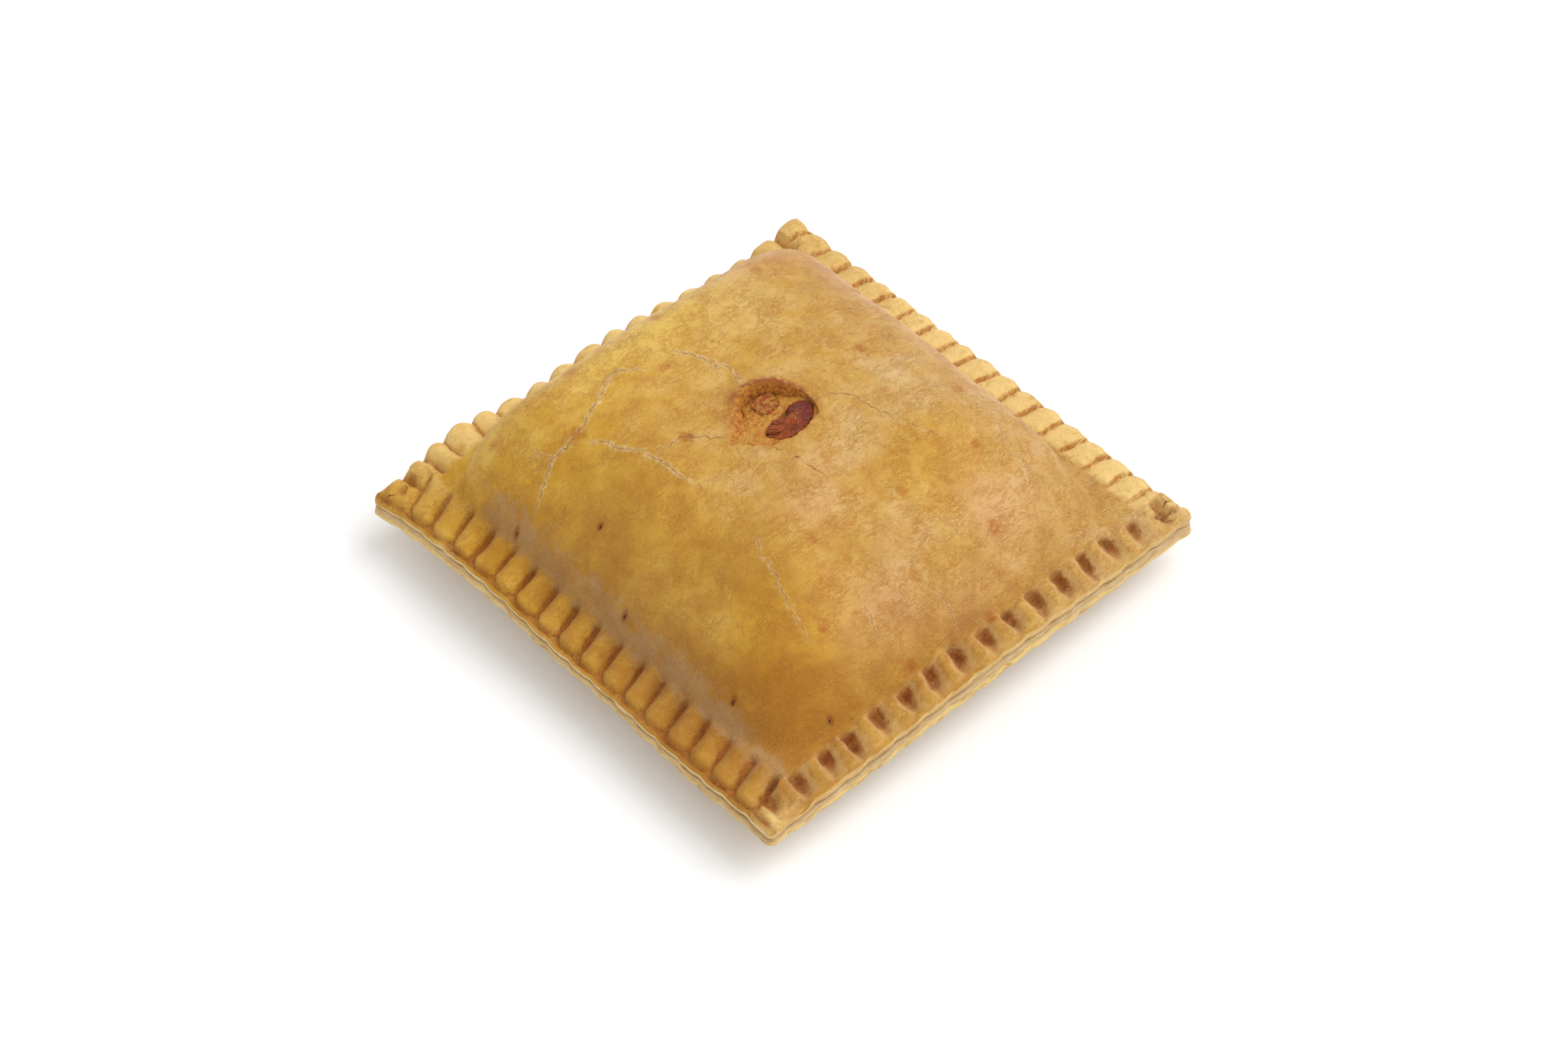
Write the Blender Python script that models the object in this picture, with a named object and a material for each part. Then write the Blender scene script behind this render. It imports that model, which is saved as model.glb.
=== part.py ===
"""A square baked turnover: two sheets of dough crimped round the edge over a mound of filling.

Metres, +Z up. The table is z = 0 and the middle of the outline is x = y = 0. The four sides are
numbered anticlockwise from the one at -Y, and each is described in its own frame: t runs along the
side, anticlockwise, from its middle, and d runs inwards from the straight line between its corners.
"""

import math

import bmesh
import bpy
import numpy as np
from mathutils import Matrix

MM = 0.001

# Outline and rim
SIDE = 130 * MM            # corner to corner along a side
HALF = SIDE / 2
TIP_RADIUS = 2.0 * MM      # rounding of the four corners in plan
CORNERS = ((-1, -1), (1, -1), (1, 1), (-1, 1))
TIP_PULL = (0.6 * MM, 0.6 * MM, 1.3 * MM, 1.9 * MM)  # how far each corner is drawn outwards
TIP_REACH = 7 * MM         # and over what length that dies away
RIM_TOP = 14.5 * MM        # upper face of the rim at the corners
RIM_WIDTH = 12.6 * MM      # the crimped band
LIFT_FADE = 22 * MM        # how far inwards a raised stretch of rim dies away

# Dough
SHEET = 2.8 * MM           # the upper sheet, over the filling
UPPER_EDGE = 2.9 * MM      # the upper sheet where it is pinched at the rim
LOWER_EDGE = 2.3 * MM      # the lower sheet at the rim
LOWER_FLOOR = 3.2 * MM     # the lower sheet on the table
SEAM = 0.55 * MM           # between the two sheets
CLEAR = 0.7 * MM           # between the filling and the sheets

# Mound
DOME_HEIGHT = 26.0 * MM    # above the rim
CROWN = 1.6 * MM           # fall of the plateau from the middle to its shoulders
TOP_SQUARENESS = 2.3       # exponent that joins two neighbouring walls, near the plateau
FOOT_SQUARENESS = (5.0, 5.0, 3.0, 4.5)  # the same at the foot, for the corners -- +- ++ -+
FOOT_SOFT = 0.045          # share of a wall's run in which its foot eases into the rim
WAVE = 0.45 * MM           # slow unevenness of the baked top

# Underside
BASE_HALF = 41 * MM        # half side of the flat base
BASE_RADIUS = 16 * MM      # its rounded corners
BELLY_START = 9 * MM       # in from the edge, where the underside leaves the rim
DISH_START = 12.6 * MM     # where the inside of the lower sheet leaves the seam
DISH_END = 27 * MM         # where it reaches its floor
FILLING_START = 14.4 * MM  # the filling's outline, in from the edge
FILLING_RADIUS = 18 * MM   # its rounded corners
LOWER_PROUD = 0.3 * MM     # how far the lower sheet's edge stands out past the upper's
LOWER_BULGE = 0.6          # where it stands out most, as a share of the edge's height from the top

# Vent, torn open near the top
VENT_CENTRE = (-0.5 * MM, 4.2 * MM)
VENT_CORNERS = (           # (bearing from the centre in degrees, radius)
    (-37, 10.8 * MM), (-4, 10.2 * MM), (45, 9.9 * MM), (84, 9.2 * MM), (139, 9.2 * MM),
    (178, 12.7 * MM), (218, 9.6 * MM), (250, 8.1 * MM), (292, 8.8 * MM),
)
LIP_HEIGHT = 1.7 * MM      # the back of the vent is torn up
LIP_SPREAD = 4.0 * MM
LIP_BEARING = math.radians(50)
FLOOR_DEPTH = 2.9 * MM     # filling below the crust's surface in the vent
FLOOR_TILT = 0.16          # it stands higher towards the front, by this slope

# Lumps of the filling that show in the vent: place from the vent's centre, half sizes, how far
# the middle stands above the filling's floor, and how far the ends bend towards +Y
LUMPS = {
    "filling_piece_large": dict(place=(2.4 * MM, -3.6 * MM), half=(6.3 * MM, 2.9 * MM, 2.3 * MM),
                                rise=-0.2 * MM, bend=1.0 * MM),
    "filling_piece_small": dict(place=(3.3 * MM, 4.2 * MM), half=(2.5 * MM, 2.1 * MM, 1.4 * MM),
                                rise=-0.2 * MM, bend=0.0),
}
LUMP_CLEAR = 0.45 * MM

# One side: grooves pressed across the rim (first middle, spacing, number, depth, half width,
# the depths d where they begin and end, lean), the fall of the rim to its lip and how far in that
# starts, hills of the rim and outward bows of its edge
# (each a size, the middle of it and how far it spreads to either side), and the mound's foot,
# the run of its wall at either end and the wall's power: 0.5 is a quarter ellipse, 1 a parabola.
SIDES = (
    dict(first=-58.8 * MM, pitch=7.92 * MM, count=16, deep=2.0 * MM, wide=1.9 * MM,
         begin=1.3 * MM, end=8.6 * MM, lean=0.10, lip=(0.5 * MM, 1.2 * MM),
         lifts=((1.4 * MM, 2 * MM, 48 * MM),), bows=(),
         foot=9.0 * MM, wall=(40 * MM, 42 * MM), power=0.75),
    dict(first=-59.0 * MM, pitch=7.0 * MM, count=18, deep=1.6 * MM, wide=1.3 * MM,
         begin=-1.0 * MM, end=10.0 * MM, lean=0.0, lip=(0.6 * MM, 2.0 * MM),
         lifts=((0.9 * MM, 0.0, 62 * MM), (0.5 * MM, 35 * MM, 25 * MM)), bows=(),
         foot=11.0 * MM, wall=(40 * MM, 21 * MM), power=0.5),
    dict(first=-56.6 * MM, pitch=7.75 * MM, count=15, deep=2.0 * MM, wide=1.7 * MM,
         begin=-1.0 * MM, end=9.0 * MM, lean=0.0, lip=(0.7 * MM, 2.2 * MM),
         lifts=((3.4 * MM, 0.0, 48 * MM), (5.4 * MM, 42 * MM, 25 * MM), (1.5 * MM, -62 * MM, 20 * MM)),
         bows=((1.0 * MM, 0.0, 58 * MM), (0.8 * MM, 46 * MM, 20 * MM)),
         foot=10.5 * MM, wall=(17 * MM, 10 * MM), power=0.5),
    dict(first=-57.0 * MM, pitch=7.15 * MM, count=17, deep=2.3 * MM, wide=1.9 * MM,
         begin=0.2 * MM, end=12.6 * MM, lean=-0.12, lip=(1.2 * MM, 2.4 * MM),
         lifts=((2.0 * MM, -30 * MM, 32 * MM),), bows=((0.5 * MM, 38 * MM, 24 * MM),),
         foot=11.5 * MM, wall=(26 * MM, 40 * MM), power=0.7),
)
BEGIN_RUN = 1.5 * MM       # how a groove fades in at its outer end
END_RUN = 2.5 * MM         # and out at its inner one
JITTER = 0.35 * MM         # unevenness of the groove spacing
SEED = 11

# How finely the sheets are cut into faces
RIM_ROWS = np.array([0.0, 0.7, 1.7, 3.2, 4.8, 6.4, 8.0, 9.6, 11.1, 12.6]) * MM
DOME_RINGS = (0.035, 0.08, 0.13, 0.20, 0.30, 0.44, 0.62, 0.80, 0.93, 1.0)
DOME_POINTS = 96
UNDER_RINGS = (0.0, 0.04, 0.10, 0.18, 0.29, 0.45, 0.65, 0.86)
UNDER_POINTS = 44
LOWER_POINTS = 18          # along each side, besides two more at each corner
LOWER_RIM_ROWS = (0.0, 6.0, 12.6)
LOWER_DISH_ROWS = (15.5, 18.5, 22.0, 27.0)
LOWER_BELLY_ROWS = (1.2, 9.0, 12.5, 16.5, 20.5, 24.0)

COLOURS = {
    "upper_crust": ((0.60, 0.33, 0.09), 0.55),
    "lower_crust": ((0.66, 0.44, 0.17), 0.65),
    "filling": ((0.55, 0.27, 0.06), 0.35),
    "filling_piece_large": ((0.17, 0.035, 0.015), 0.35),
    "filling_piece_small": ((0.32, 0.09, 0.03), 0.35),
}


def side_frame(x, y, turn):
    """(t, d) of plan points in the frame of side number turn."""
    for _ in range(turn):
        x, y = y, -x
    return x, y + HALF


def hills(t, heights):
    """Sum of smooth hills (height, middle, run), each 0 beyond run on either side."""
    total = np.zeros(np.shape(t))
    for height, middle, run in heights:
        q = np.clip((t - middle) / run, -1, 1)
        total = total + height * np.cos(q * math.pi / 2) ** 2
    return total


def smooth(value, low, high):
    q = np.clip((value - low) / (high - low), 0, 1)
    return q * q * (3 - 2 * q)


def groove_middles(turn):
    """Where the grooves of a side cross it, from even spacing and a seeded unevenness."""
    side = SIDES[turn]
    uneven = np.random.default_rng(SEED + turn).uniform(-JITTER, JITTER, side["count"])
    return side["first"] + side["pitch"] * np.arange(side["count"]) + uneven


GROOVES = [groove_middles(turn) for turn in range(4)]


def outline(u, v):
    """Plan place of the point (u, v) of a square sheet: round tips, bowed sides, drawn corners."""
    corner = HALF - TIP_RADIUS
    a = np.clip((np.abs(u) - corner) / TIP_RADIUS, 0, 1)
    b = np.clip((np.abs(v) - corner) / TIP_RADIUS, 0, 1)
    x = np.where(a > 0, np.sign(u) * (corner + TIP_RADIUS * a * np.sqrt(1 - b * b / 2)), u)
    y = np.where(b > 0, np.sign(v) * (corner + TIP_RADIUS * b * np.sqrt(1 - a * a / 2)), v)
    for turn, side in enumerate(SIDES):
        t, d = side_frame(u, v, turn)
        out = hills(t, side["bows"]) * np.exp(-((d / LIFT_FADE) ** 2))
        outward = ((0, -1), (1, 0), (0, 1), (-1, 0))[turn]
        x, y = x + out * outward[0], y + out * outward[1]
    for (right, back), pull in zip(CORNERS, TIP_PULL):
        near = np.exp(-((u - right * HALF) ** 2 + (v - back * HALF) ** 2) / TIP_REACH**2)
        x, y = x + right * pull * near / math.sqrt(2), y + back * pull * near / math.sqrt(2)
    return x, y


def rim_level(u, v):
    """Height of the rim between the grooves and before the fall to its lip."""
    z = np.full(np.shape(u), RIM_TOP)
    for turn, side in enumerate(SIDES):
        t, d = side_frame(u, v, turn)
        z = z + hills(t, side["lifts"]) * np.exp(-((d / LIFT_FADE) ** 2))
    return z


def crimps(u, v):
    """Depth pressed into the rim: for each groove a bell across it, faded at both of its ends."""
    depth = np.zeros(np.shape(u))
    for turn, side in enumerate(SIDES):
        t, d = side_frame(u, v, turn)
        along = t - side["lean"] * (d - RIM_WIDTH / 2)
        nearest = np.abs(along[..., None] - GROOVES[turn]).min(axis=-1)
        fade = smooth(d, side["begin"], side["begin"] + BEGIN_RUN)
        fade = fade * (1 - smooth(d, side["end"] - END_RUN, side["end"]))
        depth = np.maximum(depth, side["deep"] * np.exp(-((nearest / side["wide"]) ** 2)) * fade)
    return depth


def lip_fall(u, v):
    """How far the rim's upper face curves down to the cut edge, least of the two at a corner."""
    fall = np.zeros(np.shape(u))
    for turn, side in enumerate(SIDES):
        _, d = side_frame(u, v, turn)
        drop, run = side["lip"]
        fall = np.maximum(fall, drop * np.clip(1 - d / run, 0, 1) ** 2)
    return fall


def mound(u, v):
    """Share of the full height, 0 at the foot and 1 on the plateau.

    reach is how far a point still is from the top of each wall, as a share of that wall's run.
    Two walls join as a superellipse, squarer at the foot than near the plateau, and the height
    is (1 - e^2) to the walls' power, eased in at the foot.
    """
    reach = []
    power = weight = 1e-9
    for turn, side in enumerate(SIDES):
        t, d = side_frame(u, v, turn)
        run = side["wall"][0] + (side["wall"][1] - side["wall"][0]) * np.clip(t / SIDE + 0.5, 0, 1)
        reach.append(np.clip(1 - (d - side["foot"]) / run, 0, None))
        power = power + side["power"] * reach[-1] ** 4
        weight = weight + reach[-1] ** 4
    across = np.maximum(reach[1], reach[3])
    along = np.maximum(reach[0], reach[2])
    right, back = u / SIDE + 0.5, v / SIDE + 0.5
    front_left, front_right, back_right, back_left = FOOT_SQUARENESS
    foot = (front_left * (1 - right) + front_right * right) * (1 - back)
    foot = foot + (back_left * (1 - right) + back_right * right) * back
    low = (across**foot + along**foot) ** (1 / foot)
    high = (across**TOP_SQUARENESS + along**TOP_SQUARENESS) ** (1 / TOP_SQUARENESS)
    e = high + (low - high) * np.clip(low, 0, 1) ** 2
    ease = 1 - np.exp(-np.clip(1 - e, 0, None) / FOOT_SOFT)
    return np.clip(1 - e * e, 0, None) ** (power / weight) * ease


def waves(u, v):
    """Slow unevenness: three crossed sine waves of about 30 to 50 mm."""
    return WAVE * (
        np.sin(u / (7.5 * MM) + 0.6) * np.cos(v / (6.1 * MM) - 0.4)
        + 0.8 * np.sin((u + 1.7 * v) / (13 * MM) + 2.1)
        + 0.6 * np.cos((1.3 * u - v) / (9 * MM))
    )


def vent_radius(bearing):
    """Radius of the vent at a bearing, by a cosine blend between its corners."""
    corners = [(math.radians(a), r) for a, r in VENT_CORNERS]
    first = corners[0][0]
    around = np.mod(bearing - first, 2 * math.pi) + first
    angles = np.array([a for a, _ in corners] + [first + 2 * math.pi])
    radii = np.array([r for _, r in corners] + [corners[0][1]])
    k = np.clip(np.searchsorted(angles, around, side="right") - 1, 0, len(corners) - 1)
    share = (around - angles[k]) / (angles[k + 1] - angles[k])
    share = (1 - np.cos(math.pi * share)) / 2
    return radii[k] + (radii[k + 1] - radii[k]) * share


def lip(u, v):
    """The torn edge of the vent, raised most on the side away from the front corner."""
    du, dv = u - VENT_CENTRE[0], v - VENT_CENTRE[1]
    bearing = np.arctan2(dv, du)
    beyond = np.abs(np.hypot(du, dv) - vent_radius(bearing))
    facing = (0.5 + 0.5 * np.cos(bearing - LIP_BEARING)) ** 1.5
    return LIP_HEIGHT * facing * np.exp(-((beyond / LIP_SPREAD) ** 2))


def surface(u, v, detail=True):
    """The baked upper face: (u, v) of the flat sheet to a point, shape (..., 3)."""
    x, y = outline(u, v)
    share = mound(u, v)
    radius2 = (u * u + v * v) / HALF**2
    top = RIM_TOP + DOME_HEIGHT - CROWN * radius2 + waves(u, v)
    z = rim_level(u, v) * (1 - share) + top * share
    if detail:
        z = z - (crimps(u, v) + lip_fall(u, v)) * (1 - share) + lip(u, v)
    return np.stack([x, y, z], axis=-1)


def offset(u, v, depth):
    """Points below the upper face, depth away along its normal, worked out by differences."""
    step = 0.4 * MM
    here = surface(u, v, detail=False)
    du = surface(u + step, v, False) - surface(u - step, v, False)
    dv = surface(u, v + step, False) - surface(u, v - step, False)
    normal = np.cross(du, dv)
    normal /= np.linalg.norm(normal, axis=-1, keepdims=True)
    return here - normal * np.asarray(depth)[..., None]


def square_point(share, half):
    """Point of a square at a share of the way round it, anticlockwise from its (-, -) corner."""
    side = np.floor(share * 4).astype(int) % 4
    t = (share * 4 % 1 * 2 - 1) * half
    u = np.select([side == 0, side == 1, side == 2, side == 3], [t, half, -t, -half])
    v = np.select([side == 0, side == 1, side == 2, side == 3], [-half, t, half, -t])
    return u, v


def towards_vent(share, blend, start):
    """Points of a ring between the start (0) and the vent's edge (1)."""
    u, v = start
    bearing = np.arctan2(v - VENT_CENTRE[1], u - VENT_CENTRE[0])
    radius = vent_radius(bearing)
    inner_u = VENT_CENTRE[0] + radius * np.cos(bearing)
    inner_v = VENT_CENTRE[1] + radius * np.sin(bearing)
    return u + (inner_u - u) * blend, v + (inner_v - v) * blend


class Skin:
    """Points and triangles of one closed body, built up loop by loop."""

    def __init__(self):
        self.points = []
        self.faces = []

    def add(self, points):
        first = len(self.points)
        self.points.extend(map(tuple, np.asarray(points).reshape(-1, 3)))
        return list(range(first, len(self.points)))

    def zip_loops(self, outer, outer_share, inner, inner_share, up=True):
        """Fills between two closed loops that run the same way, by their points' shares."""
        outer_share = np.append(outer_share, 1.0)
        inner_share = np.append(inner_share, 1.0)
        i = j = 0
        while i < len(outer) or j < len(inner):
            a, b = outer[i % len(outer)], inner[j % len(inner)]
            if j == len(inner) or (i < len(outer) and outer_share[i + 1] <= inner_share[j + 1]):
                i += 1
                face = (a, outer[i % len(outer)], b)
            else:
                j += 1
                face = (a, inner[j % len(inner)], b)
            self.faces.append(face if up else face[::-1])

    def rings(self, loops, shares, up=True):
        for (a, share_a), (b, share_b) in zip(zip(loops, shares), zip(loops[1:], shares[1:])):
            self.zip_loops(a, share_a, b, share_b, up)

    def fan(self, loop, centre, up=True):
        middle = self.add([centre])[0]
        for a, b in zip(loop, loop[1:] + loop[:1]):
            self.faces.append((a, b, middle) if up else (b, a, middle))

    def object(self, name):
        mesh = bpy.data.meshes.new(name)
        mesh.from_pydata(self.points, [], self.faces)
        mesh.validate()
        return new_object(name, mesh)


def new_object(name, mesh):
    made = bpy.data.objects.new(name, mesh)
    bpy.context.scene.collection.objects.link(made)
    mesh.shade_smooth()
    mesh.set_sharp_from_angle(angle=math.radians(50))
    if name in COLOURS:
        colour, roughness = COLOURS[name]
        material = bpy.data.materials.new(name)
        material.use_nodes = True
        shader = material.node_tree.nodes["Principled BSDF"]
        shader.inputs["Base Color"].default_value = (*colour, 1)
        shader.inputs["Roughness"].default_value = roughness
        shader.inputs["Metallic"].default_value = 0
        mesh.materials.append(material)
    return made


def side_samples(turn):
    """Places along a side's crimped band: each groove's middle and flanks, and the crown between."""
    reach = HALF - RIM_WIDTH
    grooves = GROOVES[turn]
    flank = SIDES[turn]["wide"] * 0.75
    crowns = (grooves[1:] + grooves[:-1]) / 2
    places = np.sort(np.concatenate([grooves - flank, grooves, grooves + flank, crowns]))
    places = places[np.abs(places) < reach - 0.6 * MM]
    return np.concatenate([[-reach], places, [reach]])


def rim_band(skin):
    """The crimped band's upper face. Returns its outer and inner loops, anticlockwise."""
    plan = {}

    def index(u, v):
        return plan.setdefault((round(u, 7), round(v, 7)), len(plan))

    def turned(t, d, turn):
        x, y = t, d - HALF
        for _ in range(turn):
            x, y = -y, x
        return x, y

    faces, outer, inner = [], [], []
    corner = -HALF + RIM_ROWS
    for turn in range(4):
        along = side_samples(turn)
        for columns in (corner, along):
            grid = [[index(*turned(t, d, turn)) for t in columns] for d in RIM_ROWS]
            for low, high in zip(grid, grid[1:]):
                for a, b, c, d in zip(low, low[1:], high[1:], high):
                    faces += [(a, b, c), (a, c, d)]
            outer += grid[0][:-1]
        outer += [index(*turned(-t, 0.0, turn)) for t in corner[:0:-1]]
        inner += grid[-1][:-1]
    u, v = np.array(list(plan)).T
    ids = np.array(skin.add(surface(u, v)))
    skin.faces += [tuple(ids[list(face)]) for face in faces]
    seen = dict.fromkeys(outer)
    return [int(ids[k]) for k in seen], [int(ids[k]) for k in inner]


def shares_of(skin, loop):
    """Share of the way round a loop in plan, for each of its points."""
    points = np.array([skin.points[k] for k in loop])
    share = np.zeros(len(loop))
    travelled = np.linalg.norm(np.diff(points[:, :2], axis=0, append=points[:1, :2]), axis=1)
    share[1:] = np.cumsum(travelled)[:-1] / travelled.sum()
    return share


UNDER_SHARE = np.arange(UNDER_POINTS) / UNDER_POINTS


def under_ring(blend, below=0.0):
    """A ring of the upper sheet's underside, or of what lies a distance below it."""
    start = inset_square(UNDER_SHARE, FILLING_START, FILLING_RADIUS)
    u, v = towards_vent(UNDER_SHARE, blend, start)
    return offset(u, v, UPPER_EDGE + (SHEET - UPPER_EDGE) * mound(u, v) + below)


def bunched(share):
    """Shares round a square, closer together towards its corners."""
    side = np.floor(share * 4)
    t = (share * 4 - side) * 2 - 1
    t = (t + np.sin(t * math.pi / 2)) / 2
    return (side + (t + 1) / 2) / 4


def upper_crust():
    skin = Skin()
    outer, inner = rim_band(skin)
    outer_share = shares_of(skin, outer)
    inner_share = shares_of(skin, inner)

    dome_share = bunched(np.arange(DOME_POINTS) / DOME_POINTS)
    start = square_point(dome_share, HALF - RIM_WIDTH)
    loops, shares = [inner], [inner_share]
    for blend in DOME_RINGS:
        loops.append(skin.add(surface(*towards_vent(dome_share, blend, start))))
        shares.append(dome_share)
    skin.rings(loops, shares)

    under = [skin.add(under_ring(blend)) for blend in (1.0,) + UNDER_RINGS[::-1]]
    skin.rings([loops[-1]] + under, [dome_share] + [UNDER_SHARE] * len(under))

    # the pinched rim's underside, then the cut edge up to the top face
    seam_share = lower_shares()
    rim_loops, rim_shares = [under[-1]], [UNDER_SHARE]
    for depth in LOWER_RIM_ROWS[:0:-1]:
        u, v = inset_square(seam_share, depth * MM, lower_radius(depth * MM))
        rim_loops.append(skin.add(rim_under(u, v)))
        rim_shares.append(seam_share)
    edge = np.array([skin.points[k] for k in outer])
    low = edge.copy()
    low[:, 2] = rim_under(edge[:, 0], edge[:, 1])[:, 2]
    rim_loops += [skin.add(low), outer]
    rim_shares += [outer_share, outer_share]
    for a, share_a, b, share_b in zip(rim_loops, rim_shares, rim_loops[1:], rim_shares[1:]):
        skin.zip_loops(b, share_b, a, share_a, up=False)
    return skin.object("upper_crust")


def rim_under(u, v):
    """The seam's upper face, where the two sheets meet at the rim."""
    x, y = outline(u, v)
    return np.stack([x, y, rim_level(u, v) - UPPER_EDGE], axis=-1)


def lower_shares():
    """Shares round the square, even along the sides, with one more either side of each corner."""
    near = 1.2 * TIP_RADIUS / SIDE
    along = np.concatenate([[0, near], np.arange(1, LOWER_POINTS) / LOWER_POINTS, [1 - near]])
    return np.concatenate([(turn + along) / 4 for turn in range(4)])


def inset_square(share, depth, radius):
    """Points a depth in from the outline, on a square whose corners have this radius."""
    u, v = square_point(share, HALF - depth)
    corner = HALF - depth - radius
    a = np.clip((np.abs(u) - corner) / radius, 0, 1)
    b = np.clip((np.abs(v) - corner) / radius, 0, 1)
    u = np.where(a > 0, np.sign(u) * (corner + radius * a * np.sqrt(1 - b * b / 2)), u)
    v = np.where(b > 0, np.sign(v) * (corner + radius * b * np.sqrt(1 - a * a / 2)), v)
    return u, v


def belly(u, v, depth):
    """The underside: level under the rim, then an S curve down to the flat base."""
    under = rim_level(u, v) - UPPER_EDGE - SEAM - LOWER_EDGE
    return under * (1 - smooth(depth, BELLY_START, HALF - BASE_HALF))


def dish(u, v, depth):
    """The lower sheet's upper face: the seam at the rim, then an S curve down to its floor."""
    seam = rim_level(u, v) - UPPER_EDGE - SEAM
    return LOWER_FLOOR + (seam - LOWER_FLOOR) * (1 - smooth(depth, DISH_START, DISH_END))


def lower_radius(depth):
    """Corner radius of the lower sheet's loop at a depth in from the outline."""
    return max(BASE_RADIUS * min(depth / (HALF - BASE_HALF), 1.0), 0.01 * MM)


def lower_loop(skin, share, depth, height):
    """One loop of the lower sheet at a depth from the outline, at the height of belly or dish."""
    u, v = inset_square(share, depth, lower_radius(depth))
    x, y = outline(u, v)
    return skin.add(np.stack([x, y, height(u, v, np.full(len(u), depth))], axis=-1))


def lower_edge(skin, share):
    """The bulge of the lower sheet's cut edge, which stands out past the upper one's."""
    u, v = inset_square(share, 0.0, lower_radius(0.0))
    x, y = outline(u, v)
    wider = 1 + LOWER_PROUD / HALF
    z = rim_level(u, v) - UPPER_EDGE - SEAM - LOWER_BULGE * LOWER_EDGE
    return skin.add(np.stack([x * wider, y * wider, z], axis=-1))


def lower_crust():
    skin = Skin()
    share = lower_shares()
    top = [lower_loop(skin, share, row * MM, dish) for row in LOWER_RIM_ROWS + LOWER_DISH_ROWS]
    bottom = [lower_edge(skin, share)]
    bottom += [lower_loop(skin, share, row * MM, belly) for row in LOWER_BELLY_ROWS]
    skin.rings(top, [share] * len(top))
    skin.fan(top[-1], (0, 0, LOWER_FLOOR))
    skin.rings([top[0]] + bottom, [share] * (len(bottom) + 1), up=False)
    skin.fan(bottom[-1], (0, 0, 0), up=False)
    return skin.object("lower_crust")


def vent_ring(share, scale):
    """Points round the vent at a multiple of its radius."""
    u, v = square_point(share, HALF - RIM_WIDTH)
    bearing = np.arctan2(v - VENT_CENTRE[1], u - VENT_CENTRE[0])
    radius = vent_radius(bearing) * scale
    return VENT_CENTRE[0] + radius * np.cos(bearing), VENT_CENTRE[1] + radius * np.sin(bearing)


def vent_floor(u, v):
    """The filling seen in the vent: the crust's face less a depth that is least at the front."""
    towards_front = -(u - VENT_CENTRE[0] + v - VENT_CENTRE[1]) / math.sqrt(2)
    point = surface(u, v, detail=False)
    point[..., 2] -= FLOOR_DEPTH - FLOOR_TILT * towards_front
    return point


def filling():
    skin = Skin()
    share = UNDER_SHARE
    edge_u, edge_v = inset_square(share, FILLING_START, FILLING_RADIUS)
    edge_z = rim_level(edge_u, edge_v) - UPPER_EDGE + 0.6 * MM
    edge = skin.add(np.stack([edge_u, edge_v, edge_z], axis=-1))
    top = [skin.add(under_ring(blend, CLEAR)) for blend in UNDER_RINGS[1:]]
    for scale in (1.12, 0.97):
        u, v = vent_ring(share, scale)
        top.append(skin.add(offset(u, v, np.full(len(u), SHEET + CLEAR))))
    for scale in (0.91, 0.6, 0.3):
        top.append(skin.add(vent_floor(*vent_ring(share, scale))))
    skin.rings([edge] + top, [share] * (len(top) + 1))
    skin.fan(top[-1], vent_floor(*np.array(VENT_CENTRE)[:, None])[0])

    bottom = [edge]
    for depth in (18.5 * MM, 22 * MM, 27 * MM):
        u, v = inset_square(share, depth + CLEAR, lower_radius(depth))
        z = dish(u, v, np.full(len(u), depth)) + CLEAR
        bottom.append(skin.add(np.stack([u, v, z], axis=-1)))
    skin.rings(bottom, [share] * len(bottom), up=False)
    skin.fan(bottom[-1], (0, 0, LOWER_FLOOR + CLEAR), up=False)
    return skin.object("filling")


def lump(name, grow=0.0):
    """A rounded lump: a ball stretched to its half sizes, its ends bent, with shallow dents."""
    size = LUMPS[name]
    mesh = bpy.data.meshes.new(name)
    ball = bmesh.new()
    bmesh.ops.create_icosphere(ball, subdivisions=3, radius=1)
    where = np.array([(*vertex.co,) for vertex in ball.verts])
    dents = 1 + 0.07 * np.sin(5 * where[:, 0] + 1) * np.sin(4 * where[:, 1])
    dents = dents + 0.05 * np.cos(6 * where[:, 0] * where[:, 2])
    body = where * dents[:, None] * (np.array(size["half"]) + grow)
    body[:, 1] += size["bend"] * where[:, 0] ** 2
    u = np.array([VENT_CENTRE[0] + size["place"][0]])
    v = np.array([VENT_CENTRE[1] + size["place"][1]])
    middle = vent_floor(u, v)[0] + np.array([0, 0, size["rise"]])
    for vertex, place in zip(ball.verts, body + middle):
        vertex.co = place
    ball.to_mesh(mesh)
    ball.free()
    return new_object(name, mesh)


def carve(body, name):
    """Cuts a lump's pocket, a little larger than the lump, out of the filling."""
    cutter = lump(name, grow=LUMP_CLEAR)
    cutter.name = name + "_pocket"
    cutter.hide_render = True
    cutter.display_type = "WIRE"
    cut = body.modifiers.new(cutter.name, "BOOLEAN")
    cut.object = cutter
    cut.operation = "DIFFERENCE"


def centre(made):
    """Moves every mesh so that the middle of the whole outline is x = y = 0."""
    places = np.array([vertex.co for each in made for vertex in each.data.vertices])
    middle = (places.min(axis=0) + places.max(axis=0)) / 2
    for each in made:
        each.data.transform(Matrix.Translation((-middle[0], -middle[1], 0)))


def build():
    upper_crust()
    lower_crust()
    body = filling()
    for name in LUMPS:
        lump(name)
        carve(body, name)
    centre(bpy.data.objects)


for old in list(bpy.data.objects):
    bpy.data.objects.remove(old)
build()
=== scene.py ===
import math

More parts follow.
